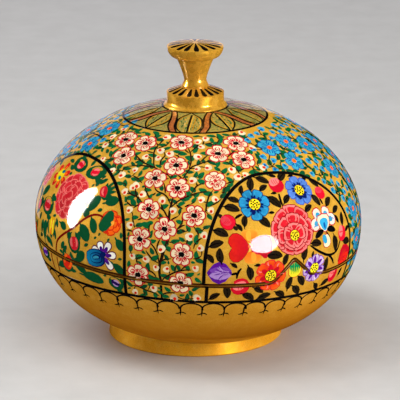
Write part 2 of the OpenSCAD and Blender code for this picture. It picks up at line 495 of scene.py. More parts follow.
# A stroke is a path of stations on the unrolled skin: angle a round the box, depth s along the
# outline, a half width and a height at each. The corners round a station lie on top of the
# skin from edge to edge, and two more are sunk in it, so each stroke is a thin closed solid.
brush = {
    "first": 0.03,  # height of the lowest stroke over the skin
    "step": 0.018,  # from one level to the next
    "edge": 0.006,  # how much lower a stroke's edges lie
    "sink": 0.05,  # depth of its underside
    "finest": 0.03,  # least half width
    "lip": 0.04,  # bare strip along the cut
    "spare": 0.08,  # how much further in a stroke has to reach to be kept
    "stations": 7,  # along a leaf, petal or bud
    "widths": (0.5, 1.4),  # half widths from which a stroke has more corners across
    "corners": (2, 3, 5),
}
strokes = {}
chance = np.random.default_rng(11)
vary = chance.uniform


def skinRadius(s):
    return np.maximum(np.interp(s, outer["s"], outer["r"]), 1.0)


# A leaf, petal or bud along +x: half width = sine of the way along to a power (low is blunt),
# skewed towards the tip, and the spine bows to one side by a share of its length
def blade(length, width, sharp, skew, bend, start):
    u = np.linspace(0, 1, brush["stations"])
    t = (1 - np.cos(math.pi * u)) / 2
    path = np.stack([start + length * t, bend * length * np.sin(math.pi * t)], -1)
    half = 0.5 * width * np.sin(math.pi * u) ** sharp * (1 + skew * (2 * t - 1))
    return path, np.maximum(half, brush["finest"])


# A line through points by a Catmull-Rom curve, with its ends drawn out to a point
def curve(points, width, steps=0, taper=0.35):
    p = np.asarray(points, float)
    ends = np.concatenate([[2 * p[0] - p[1]], p, [2 * p[-1] - p[-2]]])
    reach = np.sum(np.hypot(*np.diff(p, axis=0).T))
    steps = steps or int(np.clip(reach / max(width * 1.6, 0.9), 4, 60))
    w = np.linspace(0, len(p) - 1, steps)
    i = np.minimum(w.astype(int), len(p) - 2)
    t = (w - i)[:, None]
    a, b, c, d = ends[i], ends[i + 1], ends[i + 2], ends[i + 3]
    path = 0.5 * (2 * b + (c - a) * t + (2 * a - 5 * b + 4 * c - d) * t**2)
    path = path + 0.5 * (3 * b - a - 3 * c + d) * t**3
    half = 0.5 * width * np.sin(math.pi * np.linspace(0.02, 0.98, steps)) ** taper
    return path, np.maximum(half, brush["finest"])


# One stroke near a spot (degrees, mm), turned and moved in local millimetres
def draw(zone, spot, shape, level, colour, turn, at=(0, 0), tip=None, fade=1.5):
    path, half = shape
    c, s = math.cos(math.radians(turn)), math.sin(math.radians(turn))
    x = c * path[:, 0] - s * path[:, 1] + at[0]
    y = s * path[:, 0] + c * path[:, 1] + at[1]
    depth = spot[1] - y
    angle = math.radians(spot[0]) + x / skinRadius(depth)
    lay(zone, angle, depth, half, level, colour, tip, fade)


# A leaf, petal or bud at a place (degrees, mm, angle) by its colour, level and blade's six sizes,
# and where needed its shift, the colour of its tip and how late that comes
def dab(zone, place, colour, level, *rest):
    a, s, turn = place
    draw(zone, (a, s), blade(*rest[:6]), level, colour, turn, *rest[6:])


def dabs(zone, places, rows):  # the same strokes at each of some places
    for place in places:
        for row in rows:
            dab(zone, place, *row)


def turned(spot, *angles):  # one spot as places under several angles
    return [(*spot, angle) for angle in angles]


def flank(zone, place, shift, colour, level, *rest):  # one moved sideways before it is turned
    path, half = blade(*rest[:6])
    path[:, 1] += shift
    draw(zone, place[:2], (path, half), level, colour, place[2], *rest[6:])


def mixedTone(colour):  # colours go by name or as mixed values
    return inks[colour] if isinstance(colour, str) else colour


# Keeps a stroke for its zone, a little lighter or darker than its colour and running to its tip's
def lay(zone, angle, depth, half, level, colour, tip=None, fade=1.5):
    shade = 1 + 0.07 * chance.standard_normal()
    first = np.clip(mixedTone(colour) * shade, 0, 1)
    last = first if tip is None else np.clip(mixedTone(tip) * shade, 0, 1)
    w = np.linspace(0, 1, len(half))[:, None] ** fade
    tint = first * (1 - w) + last * w
    strokes.setdefault(zone, []).append((angle, depth, half, level, tint))


# A curve given by real places (degrees, mm) instead of local ones
def trail(zone, places, width, level, colour, taper):
    p = np.asarray(places, float)
    middle = p.mean(0)
    r = skinRadius(p[:, 1])
    flat = np.stack([np.radians(p[:, 0] - middle[0]) * r, middle[1] - p[:, 1]], -1)
    path, half = curve(flat, width, taper=taper)
    depth = middle[1] - path[:, 1]
    angle = math.radians(middle[0]) + path[:, 0] / skinRadius(depth)
    lay(zone, angle, depth, half, level, colour)


# Builds one mesh from strokes: cross-sections of the same number of corners are worked out
# for all stations at once, and each stroke has its own cell in the piece's UV map
def paintMesh(name, group, skin):
    points, normals, tints, quads, caps, uvQuads = [], [], [], [], [], []
    total, grid = 0, math.ceil(math.sqrt(len(group)))
    widest = np.array([g[2].max() for g in group])
    kinds = np.array(brush["corners"])[np.searchsorted(brush["widths"], widest, "right")]
    for top in brush["corners"]:
        chosen = np.nonzero(kinds == top)[0]
        if not len(chosen):
            continue
        parts = [group[i] for i in chosen]
        counts = np.array([len(p[2]) for p in parts])
        a, s, half = (np.concatenate([p[k] for p in parts]) for k in range(3))
        stroke = np.repeat(np.arange(len(parts)), counts)
        starts = np.concatenate([[0], np.cumsum(counts)[:-1]])
        along = (np.arange(len(a)) - starts[stroke]) / (counts[stroke] - 1)
        level = np.array([p[3] for p in parts])[stroke]
        order = chosen % 7 * 0.0005
        height = brush["first"] + brush["step"] * level + order[stroke]
        tint = np.concatenate([p[4] for p in parts])
        r = skin["radius"](s)
        before = np.where(along > 0, np.arange(len(a)) - 1, np.arange(len(a)))
        after = np.where(along < 1, np.arange(len(a)) + 1, np.arange(len(a)))
        dx, dy = (a[after] - a[before]) * r, s[before] - s[after]
        size = np.maximum(np.hypot(dx, dy), 1e-9)
        nx, ny = -dy / size, dx / size
        side = np.concatenate([np.linspace(1, -1, top), [-0.9, 0.9]])
        across = half[:, None] * side
        deep = s[:, None] - ny[:, None] * across
        turn = a[:, None] + nx[:, None] * across / skin["radius"](deep)
        high = np.repeat(height[:, None], top + 2, 1)
        high[:, 0] -= brush["edge"]
        high[:, top - 1] -= brush["edge"]
        high[:, top:] = -brush["sink"]
        place, normal = skin["place"](turn, deep, high)
        n = top + 2
        ring = np.arange(len(a))[:, None] * n + np.arange(n) + total
        link = np.nonzero(along < 1)[0]
        here, there = ring[link], ring[link + 1]
        right = np.roll(np.arange(n), -1)
        quads.append(np.stack([here, here[:, right], there[:, right], there], -1).reshape(-1, 4))
        u = np.concatenate([np.linspace(0.06, 0.72, top), [0.79, 0.87]])
        cellX, cellY = chosen[stroke] % grid, chosen[stroke] // grid
        left = np.broadcast_to(u, (len(a), n))
        beyond = np.broadcast_to(np.append(u[1:], 0.94), (len(a), n))
        v = np.broadcast_to((0.08 + 0.86 * along)[:, None], (len(a), n))
        cell = np.stack([cellX, cellY], -1)[:, None, None, :]
        sides = ((left, link), (beyond, link), (beyond, link + 1), (left, link + 1))
        uv = np.stack([np.stack([x[k], v[k]], -1) for x, k in sides], 2)
        uvQuads.append(((uv + cell[link]) / grid).reshape(-1, 2))
        first, last = ring[along == 0], ring[along == 1]
        for ends, base, lower in ((first[:, ::-1], 0.08, 0.03), (last, 0.94, 0.99)):
            caps.append((ends, base, lower, n, top, cell[along == 0][:, 0, 0], u))
        points.append(place.reshape(-1, 3))
        normals.append(normal.reshape(-1, 3))
        tints.append(np.repeat(tint, n, 0))
        total += len(a) * n
    groups = [np.concatenate(quads)]
    uvs = [np.concatenate(uvQuads)]
    for ends, base, lower, n, top, cell, u in caps:
        uEnd = np.concatenate([u[:top], [0.7, 0.08]])
        vEnd = np.concatenate([np.full(top, base), [lower, lower]])
        flat = np.stack([uEnd, vEnd], -1)
        flat = flat[::-1] if base < 0.5 else flat
        groups.append(ends)
        uvs.append(((flat[None] + cell[:, None]) / grid).reshape(-1, 2))
    mesh = meshFrom(name, np.concatenate(points) * mm, groups)
    mesh.shade_smooth()
    layer = mesh.uv_layers.new(name="OFBake")
    layer.data.foreach_set("uv", np.concatenate(uvs).astype(np.float32).reshape(-1))
    tint = mesh.attributes.new("tint", "FLOAT_COLOR", "POINT")
    rgba = np.concatenate([np.concatenate(tints), np.ones((total, 1))], 1)
    tint.data.foreach_set("color", rgba.astype(np.float32).reshape(-1))
    mesh.normals_split_custom_set_from_vertices(np.concatenate(normals).astype(np.float32))
    return mesh


# Place and outward way on the painted body: outline turned round the leaning axis
def bodyPlace(a, s, h):
    r, z = along(outer, s)
    nr, nz = -np.interp(s, outer["s"], slopeZ), np.interp(s, outer["s"], slopeR)
    size = np.hypot(nr, nz)
    nr, nz = nr / size, nz / size
    r, z = r + nr * h, z + nz * h
    place = leaned(np.stack([r * np.sin(a), -r * np.cos(a), z], -1))
    return place, leanedWay(np.stack([nr * np.sin(a), -nr * np.cos(a), nz], -1))


def lipDepth(a, onLid):  # depth of the lid's or the bowl's edge
    return depthAt(seamHeight(a) + (seam["gap"] if onLid else 0))


# Strokes over the seam are cut there: stations wholly past it are dropped, and the corners
# that still reach over it are drawn back to the lip
def keepSide(group, onLid):
    kept = []
    for a, s, half, level, tint in group:
        edge = lipDepth(a, onLid)
        over = (s - edge) if onLid else (edge - s)
        dx, dy = np.gradient(a) * skinRadius(s), np.gradient(s)
        reach = half * np.abs(dx) / np.maximum(np.hypot(dx, dy), 1e-9)
        inside = over - reach < -brush["lip"] - brush["spare"]
        if not inside.any():
            continue
        first = int(np.argmax(inside))
        last = len(inside) - int(np.argmax(inside[::-1]))
        if last - first < 2:
            continue
        part = slice(first, last)
        kept.append((a[part], s[part], half[part], level, tint[part]))
    return kept


def sidePlace(onLid):
    def place(a, s, h):
        edge = lipDepth(a, onLid)
        s = np.minimum(s, edge - brush["lip"]) if onLid else np.maximum(s, edge + brush["lip"])
        return bodyPlace(a, s, h)

    return place


# Adds a zone of paint to the lid and to the bowl, where it has strokes on them
def makePaint(zone, finish):
    for onLid in (True, False):
        group = keepSide(strokes[zone], onLid)
        if not group:
            continue
        bodyName = "lid" if onLid else "bowl"
        name = bodyName + "_" + zone
        mesh = paintMesh(name, group, {"radius": skinRadius, "place": sidePlace(onLid)})
        addPiece(name, mesh, bodyName, finishes[finish])
        print(bodyName, zone, len(group), "strokes", len(mesh.polygons), "faces")


# Where the painting's parts lie: degrees right of the front and depth in mm from the top pole.
# All of it is repeated after half a turn.
layout = {
    # arched medallions: middle, top depth, half widths to the left and right, their powers,
    # and the depth where their sides become straight
    "right": (29.0, 60.5, 26.9, 37.4, 2.18, 2.35, 105.0),
    "left": (-59.0, 61.8, 30.0, 33.2, 2.35, 2.3, 105.0),
    "border": 120.6,
    "cut": 111.6,  # depth of the cut between lid and bowl at the front
    "crown": 32.9,  # radius of the ring round the knob
    "change": (31.0, -63.0),  # where blossoms give way to blue flowers above the arches
}


# Half width of an arch in degrees at a depth, on one side
def archWidth(s, top, width, power, spring):
    w = np.clip((spring - s) / (spring - top), 0, 1)
    return width * (1 - w**power) ** (1 / power)


# Distance in mm by which a place lies inside a medallion (negative outside)
def insideMedallion(a, s):
    best = np.full(np.shape(a), -99.0)
    for key in ("right", "left"):
        middle, top, left, right, powerLeft, powerRight, spring = layout[key]
        off = (np.asarray(a) - middle + 90) % 180 - 90
        width = np.where(off < 0, archWidth(s, top, left, powerLeft, spring),
                         archWidth(s, top, right, powerRight, spring))
        reach = (width - np.abs(off)) * math.pi / 180 * skinRadius(s)
        reach = np.minimum(reach, np.where(s < spring, (s - top) * 1.3, 99))
        best = np.maximum(best, reach)
    return best


def crownDistance(a, s):  # mm outside the crown's ring, in plan
    place, _ = bodyPlace(np.radians(a), s, np.zeros(np.shape(s)))
    return np.hypot(place[..., 0] - body["axis"], place[..., 1]) - layout["crown"]


def around(a):  # the same place within one repeat
    low = layout["change"][1]
    return (np.asarray(a) - low) % 180 + low


def spotOn(a, s):
    return bodyPlace(np.radians(np.array(a)), np.array(s), np.array(0.0))[0]


# Seeded places at least a set distance apart and clear of what is already there; fewer are
# tried towards the top, where the same angle is a shorter way
def scatter(inside, taken, margin, tries, apart, room):
    spots, low = [], layout["change"][1]
    for _ in range(tries):
        s = vary(layout["crown"] + 1.1, layout["border"] - 0.8)
        a = vary(low, low + 180)
        if vary() > skinRadius(s) / body["radius"] or not inside(a, s, margin):
            continue
        here = spotOn(a, s)
        gaps = np.linalg.norm(np.array([t[0] for t in taken]) - here, axis=1)
        if (gaps < np.array([t[1] for t in taken]) + room).any():
            continue
        spots.append((a, s))
        taken.append((here, apart))
    return spots


def takePlaces(places, radius):
    return [(spotOn(a, s), radius) for a, s in places]


blossom = {
    "radius": 5.1,
    "petal": 3.6,
    "rim": 0.9,
    "vein": 0.62,
    "heart": 1.25,
    "heartless": 6,  # this one has a small red heart instead
}


# Petals that lie side by side in a ring never share a layer, so each keeps its whole rim
def petalOrder(i, count):
    return 2.0 if count % 2 and i == count - 1 else float(i % 2)


# A cream flower of five or six petals with red rims and veins round a ragged black heart
def paintBlossom(zone, spot, number):
    petals, size = 5 if number % 3 == 2 else 6, 0.95 if spot[1] > 60 else 1.0
    turn = vary(0, 360)
    for i in range(petals):
        angle = turn + 360 * i / petals + vary(-5, 5)
        long = (blossom["radius"] - 0.8) * size * vary(0.92, 1.06)
        wide = blossom["petal"] * size * (5 / petals) ** 0.6 * vary(0.95, 1.08)
        rim = blossom["rim"] * size
        up = petalOrder(i, petals)
        dab(zone, (*spot, angle), "red", 1.8 + up, long + rim, wide + rim, 0.74, 0.42, 0, 0.5)
        dab(zone, (*spot, angle), "cream", 2.2 + up, long, wide - 0.1, 0.74, 0.42, 0, 0.8)
        # two hooked veins that run up beside the rim and bend in, and a short one between them
        vein = blossom["vein"] * size * vary(0.85, 1.15)
        reach = vary(0.85, 1.1)
        for way in (-1, 1):
            points = np.array([(0.36, 0.1), (0.5, 0.22), (0.7, 0.24), (0.86, 0.06)])
            points[:, 1] *= way * wide * vary(0.9, 1.15)
            points[:, 0] *= long * reach
            draw(zone, spot, curve(points, vein, 7), 2.6 + up, "red", angle)
        dab(zone, (*spot, angle), "red", 2.6 + up, long * 0.36, vein * 1.15, 0.7, 0.2, 0.1,
            0.36 * long)
    if number != blossom["heartless"]:
        r = blossom["heart"] * size
        dab(zone, (*spot, vary(-25, 25)), "black", 5, 2.3 * r, 1.8 * r, 0.8, 0, 0, -1.15 * r)
        for _ in range(4):
            dab(zone, (*spot, vary(0, 360)), "black", 5, r * 1.5, 0.45, 1, 0, 0, 0)
    else:
        dab(zone, (*spot, 40), "red", 5, 1.4, 0.9, 1, 0, 0, -0.7)


def paintBud(zone, spot, ground, dot):
    turn = vary(0, 360)
    r = 1.52 * vary(0.85, 1.12)
    dab(zone, (*spot, turn), ground, 2, 2.3 * r, 1.75 * r, 0.75, 0.2, 0, -1.1 * r)
    dab(zone, (*spot, turn + 75), ground, 2, 1.5 * r, 1.3 * r, 0.8, 0, 0, -0.2 * r)
    dab(zone, (*spot, turn + 150), dot, 3, 1.05 * r, 0.9 * r, 0.8, 0, 0, -0.2 * r)


# A small turquoise flower with round petals, darker rims and an orange heart
def paintBlueBlossom(zone, spot, number):
    petals = 7 if number % 3 == 0 else 6
    turn = vary(0, 360)
    for i in range(petals):
        angle = turn + 360 * i / petals + vary(-6, 6)
        long = 4.7 * vary(0.92, 1.06)
        up = petalOrder(i, petals)
        dab(zone, (*spot, angle), "blue", 1 + up, long + 0.5, 4.0, 0.66, 0.32, 0, 0.4)
        dab(zone, (*spot, angle), "turquoise", 1.5 + up, long, 3.1, 0.66, 0.32, 0, 0.6)
        for side in (-0.18, 0.2):
            dab(zone, (*spot, angle + 40 * side), "blue", 2 + up, long * 0.55, 0.5, 0.7, 0.2, side,
                1.2)
    dab(zone, (*spot, 20), "orange", 5, 2.7, 2.3, 0.8, 0, 0, -1.35)
    dab(zone, (*spot, 20), "dot", 6, 0.9, 0.9, 0.8, 0, 0, -0.4)


# Stems grow from a trunk to every flower, bud and leaf of a panel
stems = {"trunk": 1.3, "branch": 0.78, "twig": 0.58, "twiglet": 0.48, "reach": 12, "leafReach": 5}


def betweenPoints(points, share):  # places along a line, some for each of its points
    p = np.asarray(points, float)
    w, k = np.linspace(0, len(p) - 1, share * len(p)), np.arange(len(p))
    return list(zip(np.interp(w, k, p[:, 0]), np.interp(w, k, p[:, 1])))


# Each flower and leaf, from low to high, is tied to the stem that is cheapest to reach from it.
# Gives the angles at which the leaves sit on their twiglets.
def growTwigs(zone, branches, flowers, leaves, inRegion):
    net, ways = [], []
    for points in branches:
        trail(zone, points, stems["branch"], 1.7, "vine", 0.3)
        net += betweenPoints(points, 5)
    targets = [(a, s, stems["twig"], stems["reach"]) for a, s in flowers]
    targets.sort(key=lambda p: -p[1])
    targets += [(a, s, stems["twiglet"], stems["leafReach"]) for a, s in leaves]
    for a, s, width, reach in targets:
        flat = np.array(net)
        r = skinRadius((s + flat[:, 1]) / 2)
        dx, dy = np.radians(a - flat[:, 0]) * r, flat[:, 1] - s
        cost = np.hypot(dx, dy) + np.where(dy < 0.3, 3.0, 0.0)
        for i in np.argsort(cost)[:12]:
            span = max(math.hypot(dx[i], dy[i]), 0.5)
            bow = chance.choice((-0.24, -0.14, 0.14, 0.24)) * span
            # the twig leaves its branch upwards, then bends over to the flower
            middle = (
                net[i][0] + math.degrees((0.42 * dx[i] - bow * dy[i] / span) / r[i]),
                net[i][1] - 0.58 * dy[i] - bow * dx[i] / span,
            )
            if inRegion(*middle):
                break
        way = math.degrees(math.atan2(middle[1] - s, math.radians(a - middle[0]) * r[i]))
        ways.append(way)
        if span > reach or span < 2.2:
            continue
        trail(zone, [net[i], middle, (a, s)], width, 1.65, "vine", 0.3)
        net += [middle, (0.5 * (a + middle[0]), 0.5 * (s + middle[1]))]
    return ways[len(flowers):]


# Places all along the branches, which leaves keep clear of
def branchPlaces(branches):
    spots = [spot for points in branches for spot in betweenPoints(points, 4)]
    return takePlaces(spots, -0.4)


# Pointed leaves that lie along their twiglets, some of them darker
def paintLeaves(zone, places, ways, size):
    for spot, way in zip(places, ways):
        long = size * vary(0.8, 1.25)
        wide = long * vary(0.48, 0.64)
        turn = way + vary(-30, 30)
        tone = "leaf" if vary() < 0.7 else "darkLeaf"
        dab(zone, (*spot, turn), tone, 1.2, long, wide, 1.15, -0.25, vary(-0.15, 0.15), -long / 2)


# A test for places in one of the two panels, clear of the arches and of the crown
def inPanel(blue):
    def inside(a, s, margin=1.6):
        a = around(a)
        own = (a >= layout["change"][0]) == blue
        return bool(own and insideMedallion(a, s) < -margin and crownDistance(a, s) > margin)

    return inside


creamPanel = {
    "blue": False,
    "rooms": (4.9, 2.1),  # kept clear round a blossom and a bud
    # seeded buds, leaves and small leaves: distance from the edge, tries, room of their own, gap
    "moreBuds": (2.7, 4000, 2.0, 3.8),
    "leaves": (2.1, 26000, 1.55, 1.0),
    "smallLeaves": (1.6, 6000, 0.9, 0.75),
    "leafSizes": (3.75, 2.0),
    "budTones": ("cream", "dot"),
    "blossoms": [
        (-13.3, 41.3), (22.1, 41.3), (9, 47.6), (22.4, 51.8), (-12.4, 55.9), (-20.3, 64.1),
        (6.2, 63.1), (-9.7, 67.7), (-19.4, 79.2), (-2.1, 80.3), (-12.3, 87.2), (-20.8, 93),
        (-5.8, 97.8), (-20.8, 109.4), (-5.8, 111.3), (-50, 46.5), (-35.5, 45.5), (-42, 55.5),
    ],
    "buds": [
        (-24.7, 39.2), (-2.6, 40), (2, 37.7), (-0.5, 43.5), (-23.6, 48.5), (-17.6, 49.7),
        (-23, 52.8), (-2, 57), (3.2, 56.2), (14.5, 57.5), (16.5, 61.1), (20.5, 60.5), (-3.6, 63.5),
        (-27.3, 69), (-23.4, 73), (-14.7, 74.3), (0.4, 72.8), (5.8, 72.2), (4.2, 77.7),
        (-26.7, 81), (-10, 78.8), (-25.2, 87.3), (-3.4, 89.5), (1.8, 89), (-12.7, 96.3),
        (0.5, 94.8), (-23, 101.2), (-18, 101.7), (-14.5, 105), (-10.8, 105), (-1, 104),
        (-22, 118.4), (-7.8, 119), (0.2, 118.3), (-15.3, 115.3), (-36, 65.5), (-31, 61.5),
        (-31, 73), (31.5, 34.2), (31, 45.5), (-28.5, 70.2),
    ],
    "trunk": [
        (-12.4, 120.2), (-12.6, 112), (-13.2, 105), (-12.3, 98.8), (-11.1, 91), (-11.3, 80),
        (-10.9, 73),
    ],
    "branches": [
        [(-13.4, 102.8), (-13.6, 100.8), (-14.4, 97.8), (-15.7, 95.3), (-17, 94.1)],
        [(-13.4, 102.8), (-15.7, 101.2), (-17.3, 99.1), (-18.2, 97.6)],
        [(-14.4, 96.6), (-14.2, 94.1), (-13.6, 92)],
        [(-13.1, 102.4), (-11.9, 100.8), (-9.3, 100.1)],
        [(-12.4, 111.5), (-11.5, 109.5), (-9.3, 107.4), (-7.1, 105.8), (-4.5, 104.9),
         (-2.3, 104.7)],
        [(-8, 105.8), (-7.7, 104.1), (-7.1, 102.5)], [(-5.8, 105), (-4.5, 103.3), (-3.6, 102.2)],
        [(-4.2, 106.4), (-3.5, 107.4)],
        [(-14.1, 109.7), (-15, 107.8), (-16.3, 106.8), (-18.2, 106.4)],
        [(-25.1, 108.3), (-23.6, 107.4), (-22.8, 106.6)],
        [(-20.8, 104.4), (-21.4, 102.6), (-20.9, 100)],
        [(-13.2, 119), (-14.9, 117.5), (-17.3, 116.8), (-19.2, 116), (-21, 115.2), (-23.6, 115.1)],
        [(-12.4, 118.6), (-11.2, 117), (-9.3, 116.6), (-7.7, 116.2)],
        [(-11.4, 82.8), (-12.2, 81.2), (-13.8, 78.7), (-15.7, 77.6)], [(-13.8, 78.7), (-15, 76.2)],
        [(-11.3, 77.6), (-9.7, 75.3), (-7.8, 73.2), (-4.9, 71.3), (-1.8, 69.7), (1.4, 68.9),
         (3, 68.8)],
        [(-9.2, 75.8), (-7.7, 76.8), (-6.6, 77.4)],
        [(-6.6, 81), (-6.2, 82.8), (-6.4, 84.3), (-7.7, 86.2)],
        [(-8.6, 88.4), (-7.7, 86.6), (-6.1, 85.1), (-5.2, 84.7)],
        [(-10.8, 83.3), (-9.6, 82.2), (-8, 81)], [(-15.7, 82.6), (-13.4, 82.8)],
        [(-9.3, 89.1), (-7.7, 87.6), (-5.8, 87.4), (-4.9, 87.8)],
        [(-4.5, 93.5), (-4.1, 92), (-3.9, 90.8)],
        [(-1.8, 95), (-1.4, 92.8), (-0.1, 91), (0.9, 90.1)],
        [(-2.3, 85), (-1, 86.8), (-0.4, 88.3), (-0.4, 90.1)],
        [(-1.8, 99.5), (-0.4, 99.3), (0.9, 98)], [(-24.9, 83.9), (-24.1, 86.2), (-23.3, 88.3)],
        [(-26.3, 89.9), (-24.9, 89.8), (-23, 90.4)], [(-17.6, 85.3), (-18.1, 87.8), (-17.3, 90.3)],
        [(-22.7, 84.7), (-21, 83.6)], [(-25.4, 79.7), (-24.3, 78.3), (-23, 77.4)],
        [(-29.4, 77), (-28.1, 78), (-26.8, 78.7), (-25.4, 78.5)],
        [(-23.9, 67), (-22.8, 70.1), (-20.9, 73), (-19.3, 75.4)],
        [(-19.3, 68.6), (-17.7, 70.3), (-14.8, 71.3), (-12.9, 73), (-11.4, 75.8)],
        [(-18.2, 71.1), (-19.1, 72.6)], [(-15.8, 65.9), (-14.7, 68.8), (-14.3, 70.9)],
        [(-10.9, 74.2), (-10.9, 73), (-10.4, 71.4)], [(-7.8, 77.4), (-9.1, 75.7)],
        [(2, 78.4), (2.1, 77.6), (2.5, 74.3), (3.3, 70.9), (4.9, 68)],
        [(3.9, 75.5), (5.9, 74.3), (8.1, 72.4)],
        [(-3.7, 69.9), (-2.4, 67.2), (-1.6, 65.9), (1.3, 64.3)], [(-1.6, 65.9), (-2, 64.6)],
        [(-8.6, 63.6), (-6.9, 60.1), (-5.9, 57.6), (-4.3, 55.7), (-1.4, 54.3), (1.1, 53),
         (5.6, 52), (10, 51.6), (17, 51.1)],
        [(-7.2, 62.2), (-5.9, 63.8)],
        [(-5.9, 56.8), (-5.4, 53.8), (-5.7, 50.9), (-6.5, 47.8), (-8.4, 44.5)],
        [(-6.4, 47), (-4.6, 44.9), (-3, 43), (-2.7, 41.5)], [(-1, 53.4), (1.1, 50.7), (3, 48.9)],
        [(-5.6, 50), (-4.9, 49.7), (-3.7, 48.9)], [(-10, 45.9), (-9.1, 46.5), (-7.4, 47.8)],
        [(6.6, 44), (7.6, 42.6), (9.7, 40.5), (11.9, 38.4)], [(1, 41.3), (4.6, 40.8), (7.1, 40.1)],
        [(0.3, 42), (1.3, 39.2)], [(12.4, 50.9), (15.7, 48.4), (18.9, 46.3)],
        [(11.9, 52.4), (15.1, 54.7), (17, 57.2), (17.8, 59.7)],
        [(17.4, 58), (19.6, 57.4), (20.8, 56.8)], [(24.8, 55.5), (25.6, 57.2), (25.3, 58.4)],
        [(10, 58.6), (9.9, 60.5)], [(10.6, 64.7), (12.6, 64), (14.3, 63.6)],
        [(8.4, 68.8), (9.8, 69.2)],
        [(-13.2, 63.6), (-15.1, 61.5), (-19.3, 59.7), (-22.5, 58.4), (-27.2, 57.2), (-30.1, 56.3),
         (-35, 53.8), (-42, 50.8), (-47.5, 48.6), (-56, 50)],
        [(-22.5, 58.6), (-26.3, 58.4), (-30, 58.6), (-36, 60.5)],
        [(-22.1, 58.6), (-23.7, 56.3), (-25.3, 52.6), (-26.6, 50.1), (-27.1, 46.8), (-26.9, 45.1),
         (-29.5, 43.8), (-32, 42.8)],
        [(-26.9, 45.1), (-26.1, 42.6), (-25.6, 40.5)],
        [(-26.4, 47.4), (-23.7, 45.5), (-21.8, 44.3), (-21, 40.5)],
        [(-19.6, 58.6), (-20.7, 55.1), (-20.5, 52.6), (-19.7, 50.9), (-21.2, 48.8)],
        [(-14.8, 49.7), (-12.9, 50.1), (-11.6, 51.4)], [(-31, 49.9), (-29.1, 50.1), (-26.6, 50.3)],
        [(-29.5, 53.6), (-27.5, 53.4), (-26, 54)], [(-31, 64.5), (-27.9, 65.5), (-25.3, 67.4)],
        [(-31, 71.4), (-28.2, 73.6), (-25.4, 74.3), (-22.6, 76.4)],
        [(-27.2, 70.5), (-26.4, 72.6), (-25.3, 74.3)], [(-16.6, 64), (-14.3, 63.3)],
        [(-13.2, 63), (-12.9, 60.5)], [(-10.7, 60.9), (-8.4, 62.6)], [(-5.9, 76.5), (-4, 75.2)],
        [(-12.9, 98.4), (-11.9, 96.6), (-10.7, 93), (-10.6, 90.5)],
    ],
}

bluePanel = {
    "blue": True,
    "rooms": (4.6, 2.0),
    "moreBuds": (2.7, 5000, 2.0, 2.6),
    "leaves": (2.1, 26000, 1.6, 1.1),
    "smallLeaves": (1.6, 5000, 0.9, 0.85),
    "leafSizes": (3.9, 2.4),
    "budTones": ("turquoise", "blue"),
    "blossoms": [
        (42.5, 46.7), (59, 46), (51, 57), (74, 68), (73.5, 89), (74, 103.5), (106.5, 45.5),
        (109, 57), (84, 78.5), (85, 96.5), (88, 55), (80, 112.5), (73, 52), (92, 66),
    ],
    "buds": [
        (37, 37), (44, 36.5), (34, 51.5), (39, 54.5), (43, 58.5), (56, 66),
    ],
    "trunk": [(79, 120.2), (79.4, 110), (78.5, 98), (79.3, 86), (79, 74), (78, 64)],
    "branches": [
        [(78, 66), (72, 60), (64, 55.4), (56, 52.6), (47, 51.8), (40, 49.4), (34, 44)],
        [(78.4, 64), (84, 58.6), (94, 54.4), (104, 51.8), (112, 51)],
        [(77.6, 62), (76, 54), (68, 46.4), (60, 41.5)], [(78.6, 60), (84, 50), (90, 42.4)],
        [(56, 54), (50, 47.6), (47, 41)],
    ],
}


def paintPanel(zone, panel, paintFlower):
    inside, rooms, trunk = inPanel(panel["blue"]), panel["rooms"], panel["trunk"]
    taken = takePlaces(panel["blossoms"], rooms[0]) + takePlaces(panel["buds"], rooms[1])
    buds = panel["buds"] + scatter(inside, taken, *panel["moreBuds"])
    taken += branchPlaces(panel["branches"] + [trunk])
    leaves = scatter(inside, taken, *panel["leaves"])
    small = scatter(inside, taken, *panel["smallLeaves"])
    trail(zone, trunk, stems["trunk"], 1.4, "black", 0.15)
    branches = panel["branches"] + [trunk[1:]]
    ways = growTwigs(zone, branches, panel["blossoms"] + buds, leaves, inside)
    paintLeaves(zone, leaves, ways, panel["leafSizes"][0])
    paintLeaves(zone, small, vary(0, 360, len(small)), panel["leafSizes"][1])
    for i, spot in enumerate(panel["blossoms"]):
        paintFlower(zone, spot, i)
    for spot in buds:
        paintBud(zone, spot, *panel["budTones"])


# A ring of petals: each is a dark rim under a body colour that runs to a lighter tip
def petalRing(zone, spot, count, near, far, width, rim, base, tip, turn, sharp, edge, skew, fade,
              loose=0.05):
    for i in range(count):
        up = 1 + petalOrder(i, count)
        angle = turn + 360 * i / count + vary(-80, 80) * loose
        long = (far - near) * vary(1 - loose, 1 + loose)
        wide = width * vary(1 - loose, 1 + loose)
        dab(zone, (*spot, angle), rim, up, long, wide, sharp, skew, 0, near)
        dab(zone, (*spot, angle), base, up + 0.5, long - edge * 1.6, wide - 2 * edge, sharp, skew,
            0, near + edge * 0.6, (0, 0), tip, fade)


# A yellow heart in a dark rim, with dots in a spiral
def heartDots(zone, spot, radius, level):
    dab(zone, (*spot, 30), "seam", level, 2.2 * radius, 2.15 * radius, 1, 0, 0, -1.1 * radius)
    dab(zone, (*spot, 10), "yellow", level + 0.6, 2 * radius, 1.95 * radius, 1, 0, 0, -radius)
    count = max(int(radius * radius * 1.9), 5)
    turn, goldenTurn = vary(0, 6), 2.39996
    for i in range(count):
        r = radius * 0.84 * math.sqrt((i + 0.4) / count)
        t = turn + i * goldenTurn
        dab(zone, (*spot, 30), "black", level + 1.2, 0.85, 0.72, 0.8, 0, 0, -0.42,
            (r * math.cos(t), r * math.sin(t)))


